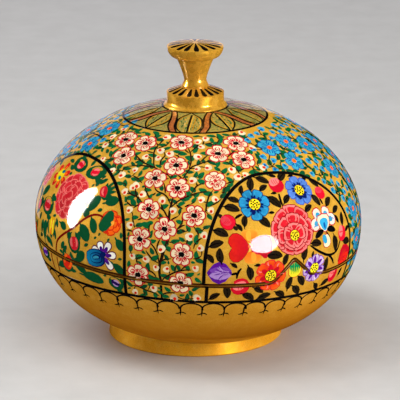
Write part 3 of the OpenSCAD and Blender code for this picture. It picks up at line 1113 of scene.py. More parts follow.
# Seven round lobes, apart at their tips: a dark rim, a deep body that runs to a light edge, and
# dark patches and pale streaks on each
def paintAster(zone, spot, radius, rim, base, tip, heart, turn):
    petals = 7
    width = 2 * math.pi * radius * 0.74 / petals
    petalRing(zone, spot, petals, heart * 0.5, radius, width, rim, base, tip, turn, 0.72, 0.3,
              0.5, 0.9, 0.04)
    for i in range(petals):
        up, angle = 2 + petalOrder(i, petals), turn + 360 * i / petals
        for side in (-0.3, 0.3):
            dab(zone, (*spot, angle + side * 46), "navy", up, radius * 0.26, 1.1, 0.9, -0.2,
                side * 0.3, heart * 0.9)
        for side in (-0.36, 0.3):
            dab(zone, (*spot, angle + side * 40), tip, up, radius * 0.26, 0.55, 0.8, 0, side * 0.4,
                radius * 0.6)
    heartDots(zone, spot, heart, 5)


# A flat flower of seven petals, each with a dark patch at its foot and a pale streak
def paintDaisy(zone, spot, reach, width, rim, base, tip, turn, edge, fade, patch, streak, heart):
    petals = 7
    petalRing(zone, spot, petals, 1.6, reach, width, rim, base, tip, turn, 0.7, edge, 0.4, fade)
    for i in range(petals):
        angle, up = turn + 360 * i / petals, 2.6 + petalOrder(i, petals)
        dab(zone, (*spot, angle), patch[0], up, *patch[1:])
        dab(zone, (*spot, angle + streak[1]), streak[0], up, *streak[2:])
    heartDots(zone, spot, heart, 8)


# A round berry bud: a crimson body, a broad paler flank and fine hatching across it
def paintFruitBud(zone, a, s, r, rim, light, turn, leaf=None):
    dabs(zone, [(a, s, turn)], [
        (rim, 1, 2.15 * r, 2.05 * r, 0.9, 0, 0, -1.08 * r),
        ("crimson", 1.6, 1.95 * r, 1.85 * r, 0.9, 0, 0, -0.97 * r),
        (light, 2.2, 1.5 * r, 1.05 * r, 0.9, 0, 0.14, -0.72 * r, (-0.12 * r, 0.3 * r)),
    ])
    for k in range(3):
        dab(zone, (a, s, turn + 80), "crimson", 2.8, 0.7 * r, 0.35, 0.9, 0, 0.1, -0.1 * r,
            ((0.3 - 0.3 * k) * r, 0.2 * r))
    if leaf:
        dabs(zone, turned((a, s), turn, turn + 180),
             [(leaf, 2, 0.75 * r, 0.5 * r, 0.9, 0, 0, 0.85 * r)])


# Three loose rings of wide petals round a low heart: each is edged in dark red, pale at its
# rim and crimson within, with a pale streak
def paintPeony(zone, spot, radius):
    dab(zone, (*spot, 20), "deepRed", 0, 1.8 * radius, 1.75 * radius, 0.9, 0, 0, -0.9 * radius)
    # petals, reach from and to, width, angle and shift down of each ring
    rings = ((9, 0.44, 1.04, 0.68, 8, 0.0), (7, 0.2, 0.78, 0.66, 36, -1.0),
             (5, 0.02, 0.54, 0.6, 90, -2.0))
    for k, (count, near, far, width, turn, low) in enumerate(rings):
        for i in range(count):
            up = 1 + 4 * k + petalOrder(i, count)
            angle = turn + 360 * i / count + vary(-6, 6)
            long = (far - near) * radius * vary(0.92, 1.06)
            wide = width * radius * vary(0.92, 1.08)
            start, at = near * radius, (0, low)
            dabs(zone, [(*spot, angle)], [
                ("deepRed", up, long, wide, 0.62, 0.4, 0, start, at),
                ("salmon", up + 0.4, long - 0.35, wide - 0.6, 0.62, 0.4, 0, start, at),
                ("rose", up + 0.8, long - 1.3, wide - 1.9, 0.75, 0.35, 0, start, at),
            ])
            side = chance.choice((-1, 1))
            flank(zone, (*spot, angle), side * wide * 0.14, "salmon", up + 1.2, 0.5 * long, 0.6,
                  0.8, 0, 0.2 * side, start + 0.4 * long, at)


# Two petals behind, two at the sides, then the shield in front and the bud below it
def paintIris(zone):
    dabs(zone, [(47.8, 84.6, 112), (52.2, 84.8, 64)], [
        ("red", 1, 6.8, 5.6, 0.75, 0.2, 0, -3.2),
        ("linen", 1.6, 5.9, 4.7, 0.75, 0.2, 0, -2.8),
        ("skyBlue", 2.2, 3.4, 3.0, 0.9, 0, 0, -2.2),
    ])
    dabs(zone, [(45.9, 88.4, 205), (54.6, 88.0, -16)], [
        ("red", 1, 7.0, 6.2, 0.75, 0.1, 0, -3.5),
        ("linen", 1.6, 6.1, 5.2, 0.75, 0.1, 0, -3.1),
        ("skyBlue", 2.2, 3.6, 2.6, 0.9, 0, 0, -2.6),
        ("periwinkle", 2.8, 2.8, 0.5, 0.9, 0, 0.2, -0.6),
    ])
    dabs(zone, [(50.1, 88.4, 90)], [
        ("red", 3, 8.8, 8.6, 0.7, 0.35, 0, -4.7),
        ("cream", 3.6, 7.8, 7.6, 0.7, 0.35, 0, -4.2),
        ("skyBlue", 4.2, 5.8, 5.4, 0.9, 0.4, 0, -3.8),
        ("blue", 4.8, 3.2, 1.4, 0.9, 0.2, 0, -3.2),
    ])
    dab(zone, (46.9, 93.2, 22), "black", 5.4, 6.4, 3.0, 1.2, 0, 0.08, -3.2)
    dab(zone, (53.4, 92.8, -14), "black", 5.4, 6.4, 3.0, 1.2, 0, 0.08, -3.2)
    dab(zone, (50.3, 97.0, 90), "red", 6, 6.6, 5.6, 0.85, -0.2, 0, -3.2)
    dab(zone, (50.3, 97.0, 90), "cream", 6.6, 5.9, 4.9, 0.85, -0.2, 0, -2.9)
    dab(zone, (50.3, 97.0, 110), "skyBlue", 7.2, 4.4, 2.8, 0.9, 0, 0.1, -1.6, (-0.8, 0.6))
    trail(zone, [(50.2, 92.6), (51.2, 94), (52.2, 96)], 0.6, 7.6, "black", 0.4)


# A closed bloom along +x: a dark pointed body with streaks that fan out from its foot, pale on
# one side and dark on the other
def paintTulip(zone, spot, r, rim, base, light, turn):
    foot = -1.15 * r
    dabs(zone, [(*spot, turn)], [
        (rim, 1, 2.4 * r, 2.3 * r, 1.9, 0, 0, foot),
        (base, 1.6, 2.1 * r, 0.9 * r, 1.7, 0, 0.04, foot + 0.3, (0, 0.26 * r)),
        (light, 1.6, 2.1 * r, 1.0 * r, 1.7, 0, -0.04, foot + 0.3, (0, -0.28 * r)),
    ])
    for k in range(11):
        lean = (k - 5) * 7.0
        long = 1.45 * r * (1 - abs(k - 5) * 0.06)
        path, half = blade(long, 0.6, 0.9, 0, 0.05 * (5 - k), 0.35 * r)
        c, s = math.cos(math.radians(lean)), math.sin(math.radians(lean))
        path = np.stack([c * path[:, 0] - s * path[:, 1] + foot,
                         s * path[:, 0] + c * path[:, 1]], -1)
        draw(zone, spot, (path, half), 2.4, light if k % 3 else rim, turn)


rightMedallion = {
    "leaves": [  # degrees, mm, angle, length
        (21.9, 65.5, 75, 6), (27.4, 64.1, -30, 6), (38.2, 63.6, 35, 6), (12.9, 73, -20, 5),
        (11.9, 77, -15, 6.5), (29.5, 75.2, -45, 7), (35.8, 74.7, 40, 5), (53.3, 70.2, -55, 5.5),
        (49.5, 77.9, -60, 6), (44.3, 80.8, 25, 5), (56.3, 80.5, 30, 5.5), (59, 85, 20, 5),
        (61.8, 90, 75, 5.5), (16.7, 82.7, 80, 5), (23.6, 83.9, -40, 6.5), (7.4, 88, -20, 6.5),
        (6, 93.1, 20, 6), (3.8, 99.3, -50, 4.5), (7.6, 97.8, 100, 6), (26.9, 99.4, -5, 7),
        (39.6, 99.9, 80, 6.5), (17.7, 106.4, -75, 6), (50.7, 108, 85, 6), (54.8, 99.3, -80, 7),
        (62.9, 101.1, -15, 6), (44.8, 97.1, -10, 6), (10, 115.2, -75, 6), (6.2, 117.7, 35, 5),
        (21.7, 115.2, -30, 5), (18.1, 118.3, -30, 6), (24.3, 118.9, 20, 6),
        (30.5, 118.6, -30, 5.5), (34, 113.3, 80, 6), (38.6, 113.3, -50, 6), (37.1, 117.7, -45, 6),
        (46.9, 118.3, -50, 4.5), (52.1, 117.7, 20, 5), (61.4, 115.2, 60, 4), (17, 68, 80, 4),
        (33.2, 62.5, -20, 3.2), (26.8, 68, 30, 4.5), (30.8, 71.1, 0, 2.4), (42.8, 64, 0, 2.6),
        (49, 67.3, 20, 3.5), (57.8, 89, -60, 4), (64, 95.3, 20, 3.6), (31.5, 101.5, 70, 5),
        (12.2, 102.6, -35, 3.2), (20.7, 103, 0, 2.6), (43.2, 101.5, 80, 2.6),
        (14.1, 85.6, -50, 3.6), (27.5, 80, 0, 2.4),
    ],
    "stems": [
        [(32.9, 71.5), (32.6, 74.5), (32.9, 77.5)],
        [(15.7, 79.6), (14.2, 80.3), (12.9, 81.4)],
        [(41.9, 97.1), (45.7, 100.5), (51.4, 103.9), (56.2, 103.3), (58.6, 98.6)],
        [(51, 103.8), (53.4, 105.8), (55, 109)],
        [(14.8, 103.8), (13.6, 106), (13.4, 108.6)],
        [(11.4, 106.6), (13.6, 106)],
        [(52.6, 80.5), (52.2, 77.5)],
    ],
    "fruits": [  # degrees, mm, radius, rim, flank, angle and leaf
        (33.3, 67.2, 3.7, "crimson", "salmon", 20), (53.9, 75.3, 3.0, "crimson", "pink", 0),
        (10.2, 83, 3.5, "deepRed", "pink", 140, "olive"),
        (60.1, 96.2, 3.4, "crimson", "salmon", 80), (56.1, 114.9, 3.5, "crimson", "salmon", 60),
        (14.9, 112.7, 4.1, "red", "salmon", 200),
    ],
    "daisies": [
        {"spot": (25.7, 108.2), "reach": 7.8, "width": 5.2, "rim": "crimson", "base": "dot",
         "tip": "orange", "turn": 95, "edge": 0.42, "fade": 2.0, "heart": 2.7,
         "patch": ("red", 3.2, 2.2, 0.9, -0.2, 0, 2.2),
         "streak": ("salmon", 9, 1.8, 0.6, 0.9, 0, 0.2, 4.9)},
        {"spot": (44.3, 108.2), "reach": 6.8, "width": 4.6, "rim": "purple", "base": "lilac",
         "tip": "lilac", "turn": 35, "edge": 0.3, "fade": 0.7, "heart": 2.6,
         "patch": ("purple", 3.6, 1.8, 1.0, -0.2, 0.1, 2.2),
         "streak": ("linen", -10, 2.0, 0.6, 0.9, 0, 0.2, 4.7)},
    ],
}


def paintRightMedallion():
    zone = "rightFlowers"
    for a, s, turn, long in rightMedallion["leaves"]:
        dab(zone, (a, s, turn), "olive", 1, long * 1.12, 0.6 * long, 1.35, -0.12, 0.09,
            -long * 0.54)
        dab(zone, (a, s, turn), "black", 1.6, long * 1.2, 0.6, 0.6, -0.3, 0.1, -long * 0.74)
    for points in rightMedallion["stems"]:
        trail(zone, points, 1.25, 0, "black", 0.2)
    paintAster(zone, (21.2, 75.3), 7.5, "navy", "blue", "skyBlue", 2.7, 12)
    dab(zone, (20.2, 79.1, 60), "navy", 4.6, 2.6, 1.9, 0.8, 0, 0, -1.2)
    paintAster(zone, (43.4, 71.6), 7.3, "cobalt", "cobalt", "periwinkle", 2.6, 40)
    dabs(zone, [(42.2, 75.0, 80), (45.0, 75.0, 80)], [("navy", 4.6, 2.2, 1.7, 0.9, 0, 0, -1.0)])
    for fruit in rightMedallion["fruits"]:
        paintFruitBud(zone, *fruit)
    paintPeony(zone, (35.2, 88.9), 11.2)
    heartDots(zone, (35.3, 91.2), 2.4, 14)
    # a poppy: orange petals behind, a red heart at the left and a pink petal at the right
    poppy, middle = (17.4, 94.3), (0, 0)
    for turn, shift in ((88, (0.2, 1.6)), (-84, (1.4, -1.4))):
        dab(zone, (*poppy, turn), "orange", 1, 5.8, 8.0, 0.8, 0.1, 0, 0.4, shift, "paleOrange")
        dab(zone, (*poppy, turn), "paleOrange", 1.6, 4.6, 2.4, 0.9, 0.1, 0.1, 1.0, shift)
    petals = turned(poppy, 154, 209)
    dabs(zone, petals, [("deepRed", 2.2, 10.2, 6.6, 1.0, 0.45, 0, 0.0)])
    dabs(zone, petals, [("red", 2.6, 9.9, 6.0, 1.0, 0.45, 0, 0.1, middle, "dot")])
    dab(zone, (*poppy, 181), "red", 3.0, 7.8, 6.2, 1.3, 0.3, 0, 0.3, middle, "dot")
    dab(zone, (*poppy, 4), "red", 2.0, 11.0, 8.8, 0.6, 0.2, 0, 0.4)
    dab(zone, (*poppy, 4), "pink", 2.6, 10.0, 7.8, 0.6, 0.2, 0, 0.8)
    dab(zone, (*poppy, -34), "red", 3.2, 5.0, 2.6, 0.9, 0.2, 0.2, 5.0)
    dab(zone, (*poppy, 40), "orange", 8, 2.2, 2.0, 0.9, 0, 0, -0.4)
    dab(zone, (*poppy, 40), "red", 8.6, 0.8, 0.8, 0.9, 0, 0, 0.4)
    for daisy in rightMedallion["daisies"]:
        paintDaisy(zone, **daisy)
    paintTulip(zone, (7.5, 105.8), 4.7, "purple", "violet", "mauve", 180)
    paintTulip(zone, (61.8, 107), 4.8, "red", "red", "dot", 20)
    # the bud under the tooth, yellow at its foot and green at its tip
    bud = (35.4, 107.1, 90)
    dab(zone, bud, "dot", 1, 7.8, 7.4, 0.95, -0.15, 0, -3.8)
    dab(zone, bud, "yellow", 1.6, 7.2, 6.8, 0.95, -0.15, 0, -3.5, middle, "green", 1.6)
    for x, long in ((-2.2, 3.0), (-1.1, 4.2), (0.1, 4.8), (1.2, 4.2), (2.2, 3.0)):
        dab(zone, (35.4, 106.6, 90 - 4 * x), "green", 2.2, long, 1.2, 1.2, 0.4, 0, -long / 2 + 0.8,
            (x, 0))
    for x in (-1.7, -0.5, 0.7, 1.8):
        dab(zone, (35.4, 107.4, 90), "lime", 2.8, 3.2, 0.6, 0.8, 0, 0, -1.6, (x, 0))
    paintIris(zone)


leftMedallion = {
    "leaves": [  # degrees, mm, angle, length, width
        (-34.9, 78.9, 20, 7.2, 5.2), (-42.2, 81.6, 65, 9, 5.6), (-38.8, 83.9, 25, 2.8, 1.9),
        (-40.2, 91.5, -62, 7.4, 4.6), (-44.9, 86.7, -50, 5.4, 4.2), (-43.6, 95.8, -48, 9, 6.2),
        (-41.9, 100.8, 30, 2.8, 1.8), (-28, 92.8, -80, 2.9, 1.7), (-32.6, 96, 60, 2, 1.2),
        (-28.1, 97.3, -50, 6, 4.3), (-27.6, 103.6, 10, 2.2, 1.4), (-28.2, 108.6, -40, 7, 4.2),
        (-44.5, 107.2, 50, 7.6, 5), (-54.9, 96.1, -20, 5.4, 3.8), (-67.6, 102.2, 85, 9.4, 5),
        (-63, 106.4, -38, 6, 3), (-75.7, 86.7, 42, 8.4, 4.6), (-67, 86, 30, 3, 2.2),
        (-70.2, 68.3, 0, 5, 2), (-64, 73.3, 20, 2.2, 1.8), (-55.3, 63.9, -88, 4, 2.3),
        (-45.1, 72.5, 80, 3.2, 2.6), (-42.7, 70.7, 50, 4.6, 2.2), (-43.9, 68.8, 60, 2.6, 1.3),
        (-46, 68, 60, 2.2, 1.2), (-47, 74, 60, 1.8, 1.2), (-38, 70.6, 70, 3, 1.4),
        (-39.2, 116.1, -4, 12.4, 5.6), (-44.7, 113.4, -18, 7.4, 3.8), (-55.8, 114.8, 20, 6, 3.8),
        (-49, 115.6, 10, 4, 2), (-33.8, 113, 10, 1.8, 1.2), (-61, 101, 70, 3, 1.4),
        (-36.6, 94.4, 60, 1.8, 1.2), (-38.2, 96.4, 40, 1.8, 1.2), (-79, 97, 60, 5, 3),
        (-73.6, 98, 60, 4.4, 2.4), (-81, 89, -30, 6, 3.2), (-84, 112, 30, 5, 3),
        (-75, 113, -30, 5.6, 3.2), (-79, 72, -40, 5, 2.8), (-66, 116, 20, 4, 2.2),
        (-70.6, 101.6, 75, 7, 3.4), (-65.9, 99.5, 70, 5.4, 2.0), (-59, 96, -60, 4.6, 2.2),
        (-59.6, 101.5, -75, 5, 2.0), (-65.2, 106, -30, 4.6, 2.4), (-54.2, 104.8, 60, 4.6, 2.6),
        (-55.2, 108.2, -10, 3.4, 1.8), (-71.5, 106.3, 20, 4, 2.2), (-50.3, 94.6, 30, 3, 1.8),
        (-66.4, 110.2, 10, 3.6, 1.8), (-74.5, 92.4, 80, 3.6, 2.2), (-61.5, 93.6, 20, 3, 1.5),
    ],
    "stems": [
        [(-58.7, 119.5), (-58.8, 110), (-58.3, 105.6), (-57.2, 103), (-54.5, 100), (-51.5, 97.2),
         (-48.5, 94.4), (-45.1, 90), (-41.3, 86.7), (-37.9, 86.1), (-36, 87)],
        [(-62.5, 119.5), (-63, 114), (-62.7, 109.5)],
        [(-45.7, 80), (-46.4, 85), (-48.7, 89.8)],
    ],
    # degrees, mm, length and width of the green and of the bud, angle, colours
    "topBuds": [
        (-61.6, 67.4, 10.8, 7.6, 5.2, 4.4, 168, "crimson", "salmon"),
        (-50.2, 67.8, 11.6, 7.6, 5.2, 4.2, 12, "crimson", "salmon"),
    ],
    "midBuds": [
        (-47.9, 101.8, 9.4, 8.6, 6.4, 5.8, 100, "rose", "rosePale"),
        (-51.9, 112, 11, 9, 8.2, 6.6, 60, "dot", "orange"),
        (-69.3, 91.2, 12, 8.4, 7.4, 5.2, 0, "rose", "salmon"),
    ],
    "lowBuds": [
        (-68.9, 113.3, 9, 6.6, 6, 4.2, 10, "purple", "lilac"),
        (-29.7, 115.6, 7.4, 6.4, 4.4, 3.6, -20, "indigo", "lilac"),
        (-78, 94, 8, 7, 5, 4.4, 80, "rose", "rosePale"),
        (-81, 106, 8, 7, 5, 4.4, 80, "dot", "orange"),
    ],
}


# A round bloom built of overlapping scallops: each lobe is pale at its outer edge and deep
# inside, rings of them (count, reach, size, angle) lie one on another and a few short pale
# strokes curl between them
def paintScallops(zone, spot, radius, rings, deep, light):
    core = 0.85 * inks[deep] + 0.15 * inks[light]
    for k, (count, away, size, turn) in enumerate(rings):
        for i in range(count):
            up = 0.5 + 2.6 * k + 0.9 * petalOrder(i, count)
            angle = turn + 360 * i / count + vary(-4, 4)
            r = size * radius * vary(0.92, 1.08)
            near, place = away * radius - r, (*spot, angle)
            dab(zone, place, light, up, 2 * r, 2 * r, 0.62, 0.1, 0, near)
            dab(zone, place, deep, up + 0.35, 2 * r - 0.55, 2 * r - 0.7, 0.62, 0.1, 0, near,
                (0, 0), core, 2.5)
            side = chance.choice((-0.5, 0.45))
            flank(zone, place, side * r * 0.8, light, up + 0.7, 1.1 * r, 0.8, 0.7, 0.1, side * 0.6,
                  near + 0.5 * r)


# A rosebud in a ring of dark green, with a line of the gold ground left round the bud
def paintHaloBud(zone, a, s, wide, high, long, across, turn, deep, light):
    place = (a, s, turn)
    dab(zone, place, "darkLeaf", 1, wide * 1.08, high, 0.85, 0.1, 0, -wide * 0.5)
    for way in (-1, 1):
        dab(zone, (a, s, turn + way * 30), "darkLeaf", 1.4, 0.5 * wide, 0.36 * high, 1.3, 0,
            0.3 * way, 0.2 * wide)
    dab(zone, place, "gold", 1.8, long + 1.2, across * 0.5, 1, 0, 0.1, -long / 2 - 0.4,
        (0, 0.34 * across))
    dab(zone, place, deep, 2.4, long, across, 0.8, 0.1, 0, -long / 2)
    for side, share in ((-1, 0.2), (1, 0.3)):
        flank(zone, place, side * across * 0.22, light, 3, 0.66 * long, share * across, 0.9, 0,
              0.18 * side, -0.26 * long)


def paintLeftMedallion():
    zone, dark, middle = "leftFlowers", "darkLeaf", (0, 0)
    for a, s, turn, long, wide in leftMedallion["leaves"]:
        dab(zone, (a, s, turn), dark, 1, long * 0.98, wide * 0.95, 1.2, 0.1, 0.06, -long / 2)
        if long > 5:  # a short stalk
            dab(zone, (a, s, turn), dark, 1, long * 0.5, 0.9, 0.8, -0.3, 0, -long * 0.72)
    for points in leftMedallion["stems"]:
        trail(zone, points, 1.1, 2, "maroon", 0.12)
    paintScallops(zone, (-56.6, 82.2), 11.3, (
        (11, 0.7, 0.3, 6), (8, 0.46, 0.28, 20), (5, 0.24, 0.26, 0), (1, 0.0, 0.22, 30),
    ), "rose", "rosePale")
    # the flower with red petals round yellow ones and two green eyes
    dabs(zone, turned((-70.2, 76.3), 88, 146, 196, 236, 292, 24, 338), [
        ("dot", 1, 4.4, 3.0, 0.8, 0.3, 0.1, 2.4, middle, "red"),
        ("orange", 1.6, 2.8, 1.2, 0.8, 0.3, 0.1, 2.2),
    ])
    dab(zone, (-70.6, 76.3, 60), "yellow", 2, 6.4, 6.6, 0.8, 0, 0, -3.4)
    for y, turn in ((2.0, 10), (-1.4, -8)):
        dab(zone, (-69.9, 76.3, turn), "green", 3, 3.0, 1.9, 0.8, 0, 0, -1.5, (0, y))
        dab(zone, (-69.7, 76.3, turn), "cobalt", 3.6, 1.7, 1.1, 0.8, 0, 0, -0.8, (0, y))
    for bud in leftMedallion["topBuds"]:
        paintHaloBud(zone, *bud)
    # the spiky bud and its large leaf
    for turn, long in ((20, 5.6), (46, 6.4), (72, 6.0), (96, 4.6), (-8, 4.6), (-34, 4.6)):
        dab(zone, (-40, 76, turn), dark, 1, long, 1.9, 1, -0.2, 0, 0.6)
    dab(zone, (-39.4, 76, -50), dark, 1, 6.4, 4.8, 0.7, 0, 0, -3.0)
    dab(zone, (-40.6, 75.2, 116), "rose", 2, 5.4, 4.2, 0.7, 0, 0, -2.7)
    dab(zone, (-40.9, 75.2, 116), "rosePale", 3, 4.0, 1.2, 0.8, 0, 0.2, -2.0, (0.6, 0))
    dab(zone, (-39.4, 76.4, 120), "red", 3, 3.4, 1.6, 0.8, 0, 0.1, -1.6)
    # the orange rose behind its own dark leaf
    paintScallops(zone, (-33.0, 88.2), 5.7, ((7, 0.62, 0.4, 30), (5, 0.3, 0.36, 0)), "orange",
                  "dot")
    dab(zone, (-32.2, 88.4, 60), "paleOrange", 7, 2.6, 1.8, 0.8, 0, 0, -1.2)
    dab(zone, (-35.3, 87.3, 66), dark, 8, 10.4, 5.8, 0.75, -0.1, -0.12, -5.4)
    # white and purple petals round the blue cup
    for turn, long in ((158, 5.4), (112, 5.2), (62, 6.0), (10, 5.8), (-48, 6.4)):
        dabs(zone, [(-34.4, 103.4, turn)], [
            ("plum", 1, long + 0.2, 3.9, 0.85, 0.35, 0, 1.3),
            ("white", 1.6, long - 0.8, 2.9, 0.85, 0.35, 0, 1.8),
            ("purple", 2.2, long * 0.6, 1.9, 0.8, -0.1, 0, 1.2, middle, "indigo"),
        ])
    dabs(zone, [(-37.6, 105.4, 12)], [
        ("navy", 4, 10.8, 8.6, 0.6, 0, 0, -5.4),
        ("ocean", 4.6, 9.8, 7.7, 0.6, 0, 0, -5.1, middle, "navy", 1.1),
        ("navy", 5.2, 7.2, 5.2, 0.65, 0, 0, -3.0),
        ("ocean", 5.8, 6.4, 4.3, 0.65, 0, 0, -2.8, middle, "navy", 1.0),
    ])
    dabs(zone, [(-37.6, 105.4, 16)], [
        ("navy", 6.4, 4.4, 2.4, 0.7, 0, 0.1, -1.6),
        ("turquoise", 7, 3.4, 1.3, 0.7, 0, 0.1, -1.3),
    ])
    dab(zone, (-34.5, 103.2, 40), "navy", 7, 3.6, 2.6, 0.8, 0, 0, -1.8)
    for bud in leftMedallion["midBuds"]:
        paintHaloBud(zone, *bud)
    # the yellow tulip between its sepals
    for x, turn in ((-3.2, 100), (3.4, 78)):
        dab(zone, (-62.3, 98.6, turn), dark, 1, 8.6, 1.5, 0.8, 0, 0.1, -4.6, (x, 0))
    dab(zone, (-62.3, 102.6, 90), dark, 1, 3.4, 2.2, 0.9, 0, 0, -1.6)
    dab(zone, (-62.3, 98.3, 90), "deepYellow", 2, 8.4, 5.2, 0.75, 0, 0, -4.4)
    for x, tone in ((-1.3, "yellow"), (0.2, "paleOrange"), (1.5, "yellow")):
        dab(zone, (-62.3, 98.3, 90), tone, 2.6, 6.6, 1.4, 0.8, 0, x * 0.06, -3.6, (x, 0))
    dab(zone, (-62.6, 101, 80), "orange", 3.2, 3.2, 1.2, 0.8, 0, 0, -1.6)
    for bud in leftMedallion["lowBuds"]:
        paintHaloBud(zone, *bud)
    paintScallops(zone, (-82.5, 81), 5.4, ((7, 0.66, 0.36, 0), (4, 0.3, 0.34, 20)), "rose",
                  "rosePale")


# Arch lines, border, the fringe of loops under it, and painted shade along the lips of the cut
lines = {
    "arch": 1.6,  # widths in mm
    "border": 1.4,
    # width of the painted shade band along each lip of the cut
    "lip": 0.75,
    "loop": 0.8,
    "prong": 0.7,
    "loops": 45,
    "cusp": 125.4,  # depth of the points between the loops
    "rise": 3.9,  # from there to the top of a loop
    "swing": 1.2,  # degrees that an arch's left end moves under the cut
}


def paintLines():
    zone = "lines"
    for key in ("right", "left"):
        middle, top, left, right, powerLeft, powerRight, spring = layout[key]
        t = np.linspace(0, math.pi / 2, 26)[::-1]
        sides = []
        for width, power, way in ((left, powerLeft, -1), (right, powerRight, 1)):
            w = np.cos(t) ** (2 / power)
            depth = spring - (spring - top) * np.sin(t) ** (2 / power)
            sides.append((middle + way * width * w, depth))
        # under the cut the left end swings a little to the right
        down = np.linspace(layout["border"], spring + 1, 25)
        swing = np.interp(down, (layout["cut"], layout["cut"] + 0.5), (0, lines["swing"]))
        a = np.concatenate([middle - left + swing, sides[0][0][::-1], sides[1][0][1:],
                            [middle + right] * len(down)])
        s = np.concatenate([down, sides[0][1][::-1], sides[1][1][1:], down[::-1]])
        half = np.full(len(a), lines["arch"] / 2)
        for turn in (0, 180):
            lay(zone, np.radians(a + turn), s, half, 4, "black")
    for start in range(0, 360, 40):  # the border in overlapping lengths, as a brush makes it
        a = np.linspace(start, start + 41, 34)
        wave = 0.12 * np.sin(np.radians(a * 5))
        lay(zone, np.radians(a), layout["border"] + wave, np.full(34, lines["border"] / 2), 2,
            "black")
    # painted shade: both lips of the cut get a dark brown band that darkens the seam as the shade
    # in its gap would
    for start in range(0, 360, 20):
        a = np.radians(np.linspace(start, start + 20.6, 60))
        edge = seamHeight(a)
        width = np.full(60, lines["lip"] / 2)
        lay(zone, a, depthAt(edge) + brush["lip"] + lines["lip"] / 2, width, 3, "seam")
        edge = depthAt(edge + seam["gap"])
        lay(zone, a, edge - brush["lip"] - lines["lip"] / 2, width, 3, "seam")
    step = 360 / lines["loops"]
    for i in range(lines["loops"]):
        cusp = 2 + i * step + vary(-0.4, 0.4)
        t = np.linspace(0, math.pi, 15)
        a = cusp + step / 2 - step / 2 * np.cos(t) * 1.02
        depth = lines["cusp"] - lines["rise"] * np.sin(t) ** 0.8 + vary(-0.2, 0.2)
        lay(zone, np.radians(a), depth, np.full(15, lines["loop"] / 2), 1, "black")
        trail(zone, [(cusp, 124.6), (cusp, 126.4), (cusp, 129.6)], 0.75, 2, "black", 0.5)
        for turn in (205, 335):
            dab(zone, (cusp, 127.4, turn + vary(-6, 6)), "black", 1, 2.6, lines["prong"], 0.9,
                -0.2, 0.14, 0)


# The crown is a ring of lotus petals round the knob, laid out in plan
crown = {
    "outer": layout["crown"],
    "inner": 15.0,
    "petals": 10,
    "shift": -6,  # degrees of the first petal from the front
    # half widths of the round and of the pointed petals along their length
    "round": ([0, 0.28, 0.5, 0.75, 0.9, 1], [0.1, 5.0, 5.9, 5.8, 4.5, 2.4]),
    "pointed": ([0, 0.2, 0.45, 0.65, 0.85, 1], [0.3, 3.6, 5.4, 5.2, 3.0, 0.1]),
    # sideways sweep of a flame towards the round petal
    "sweep": ([0, 0.25, 0.5, 0.75, 0.9, 1], [-3.6, -1.5, -0.2, 0.7, 2.4, 4.0]),
    "band": 1.5,  # half widths of a flame and of the dark lines
    "edge": 0.42,
}


# Angle and depth on the leaning body for a place in plan round the knob's axis
def planPlace(x, y):
    worldX, z = x + body["axis"], np.full(np.shape(x), body["upper"])
    c, s = math.cos(body["lean"]), math.sin(body["lean"])
    order = np.argsort(outer["r"][: widest + 1])
    for _ in range(6):
        bx = (worldX - s * z) / c
        r = np.hypot(bx, y)
        z = np.interp(r, outer["r"][: widest + 1][order], outer["z"][: widest + 1][order])
    depth = np.interp(r, outer["r"][: widest + 1][order], outer["s"][: widest + 1][order])
    return np.arctan2(bx, -y), depth


def drawPlan(zone, turn, radii, offs, half, level, colour):
    t = math.radians(turn)
    x = radii * math.sin(t) + offs * math.cos(t)
    y = -(radii * math.cos(t) - offs * math.sin(t))
    a, s = planPlace(x, y)
    lay(zone, np.unwrap(a), s, half, level, colour)


def planRing(zone, radius, half, span, level, colour):  # in lengths, as a brush makes it
    for start in range(0, 360, 30):
        t = np.radians(np.linspace(start, start + span, 22))
        a, s = planPlace(radius * np.sin(t), -radius * np.cos(t))
        lay(zone, np.unwrap(a), s, np.full(len(s), half), level, colour)


def smoothed(table, w):
    return np.convolve(np.pad(np.interp(w, *table), 1, "edge"), [0.25, 0.5, 0.25], "valid")


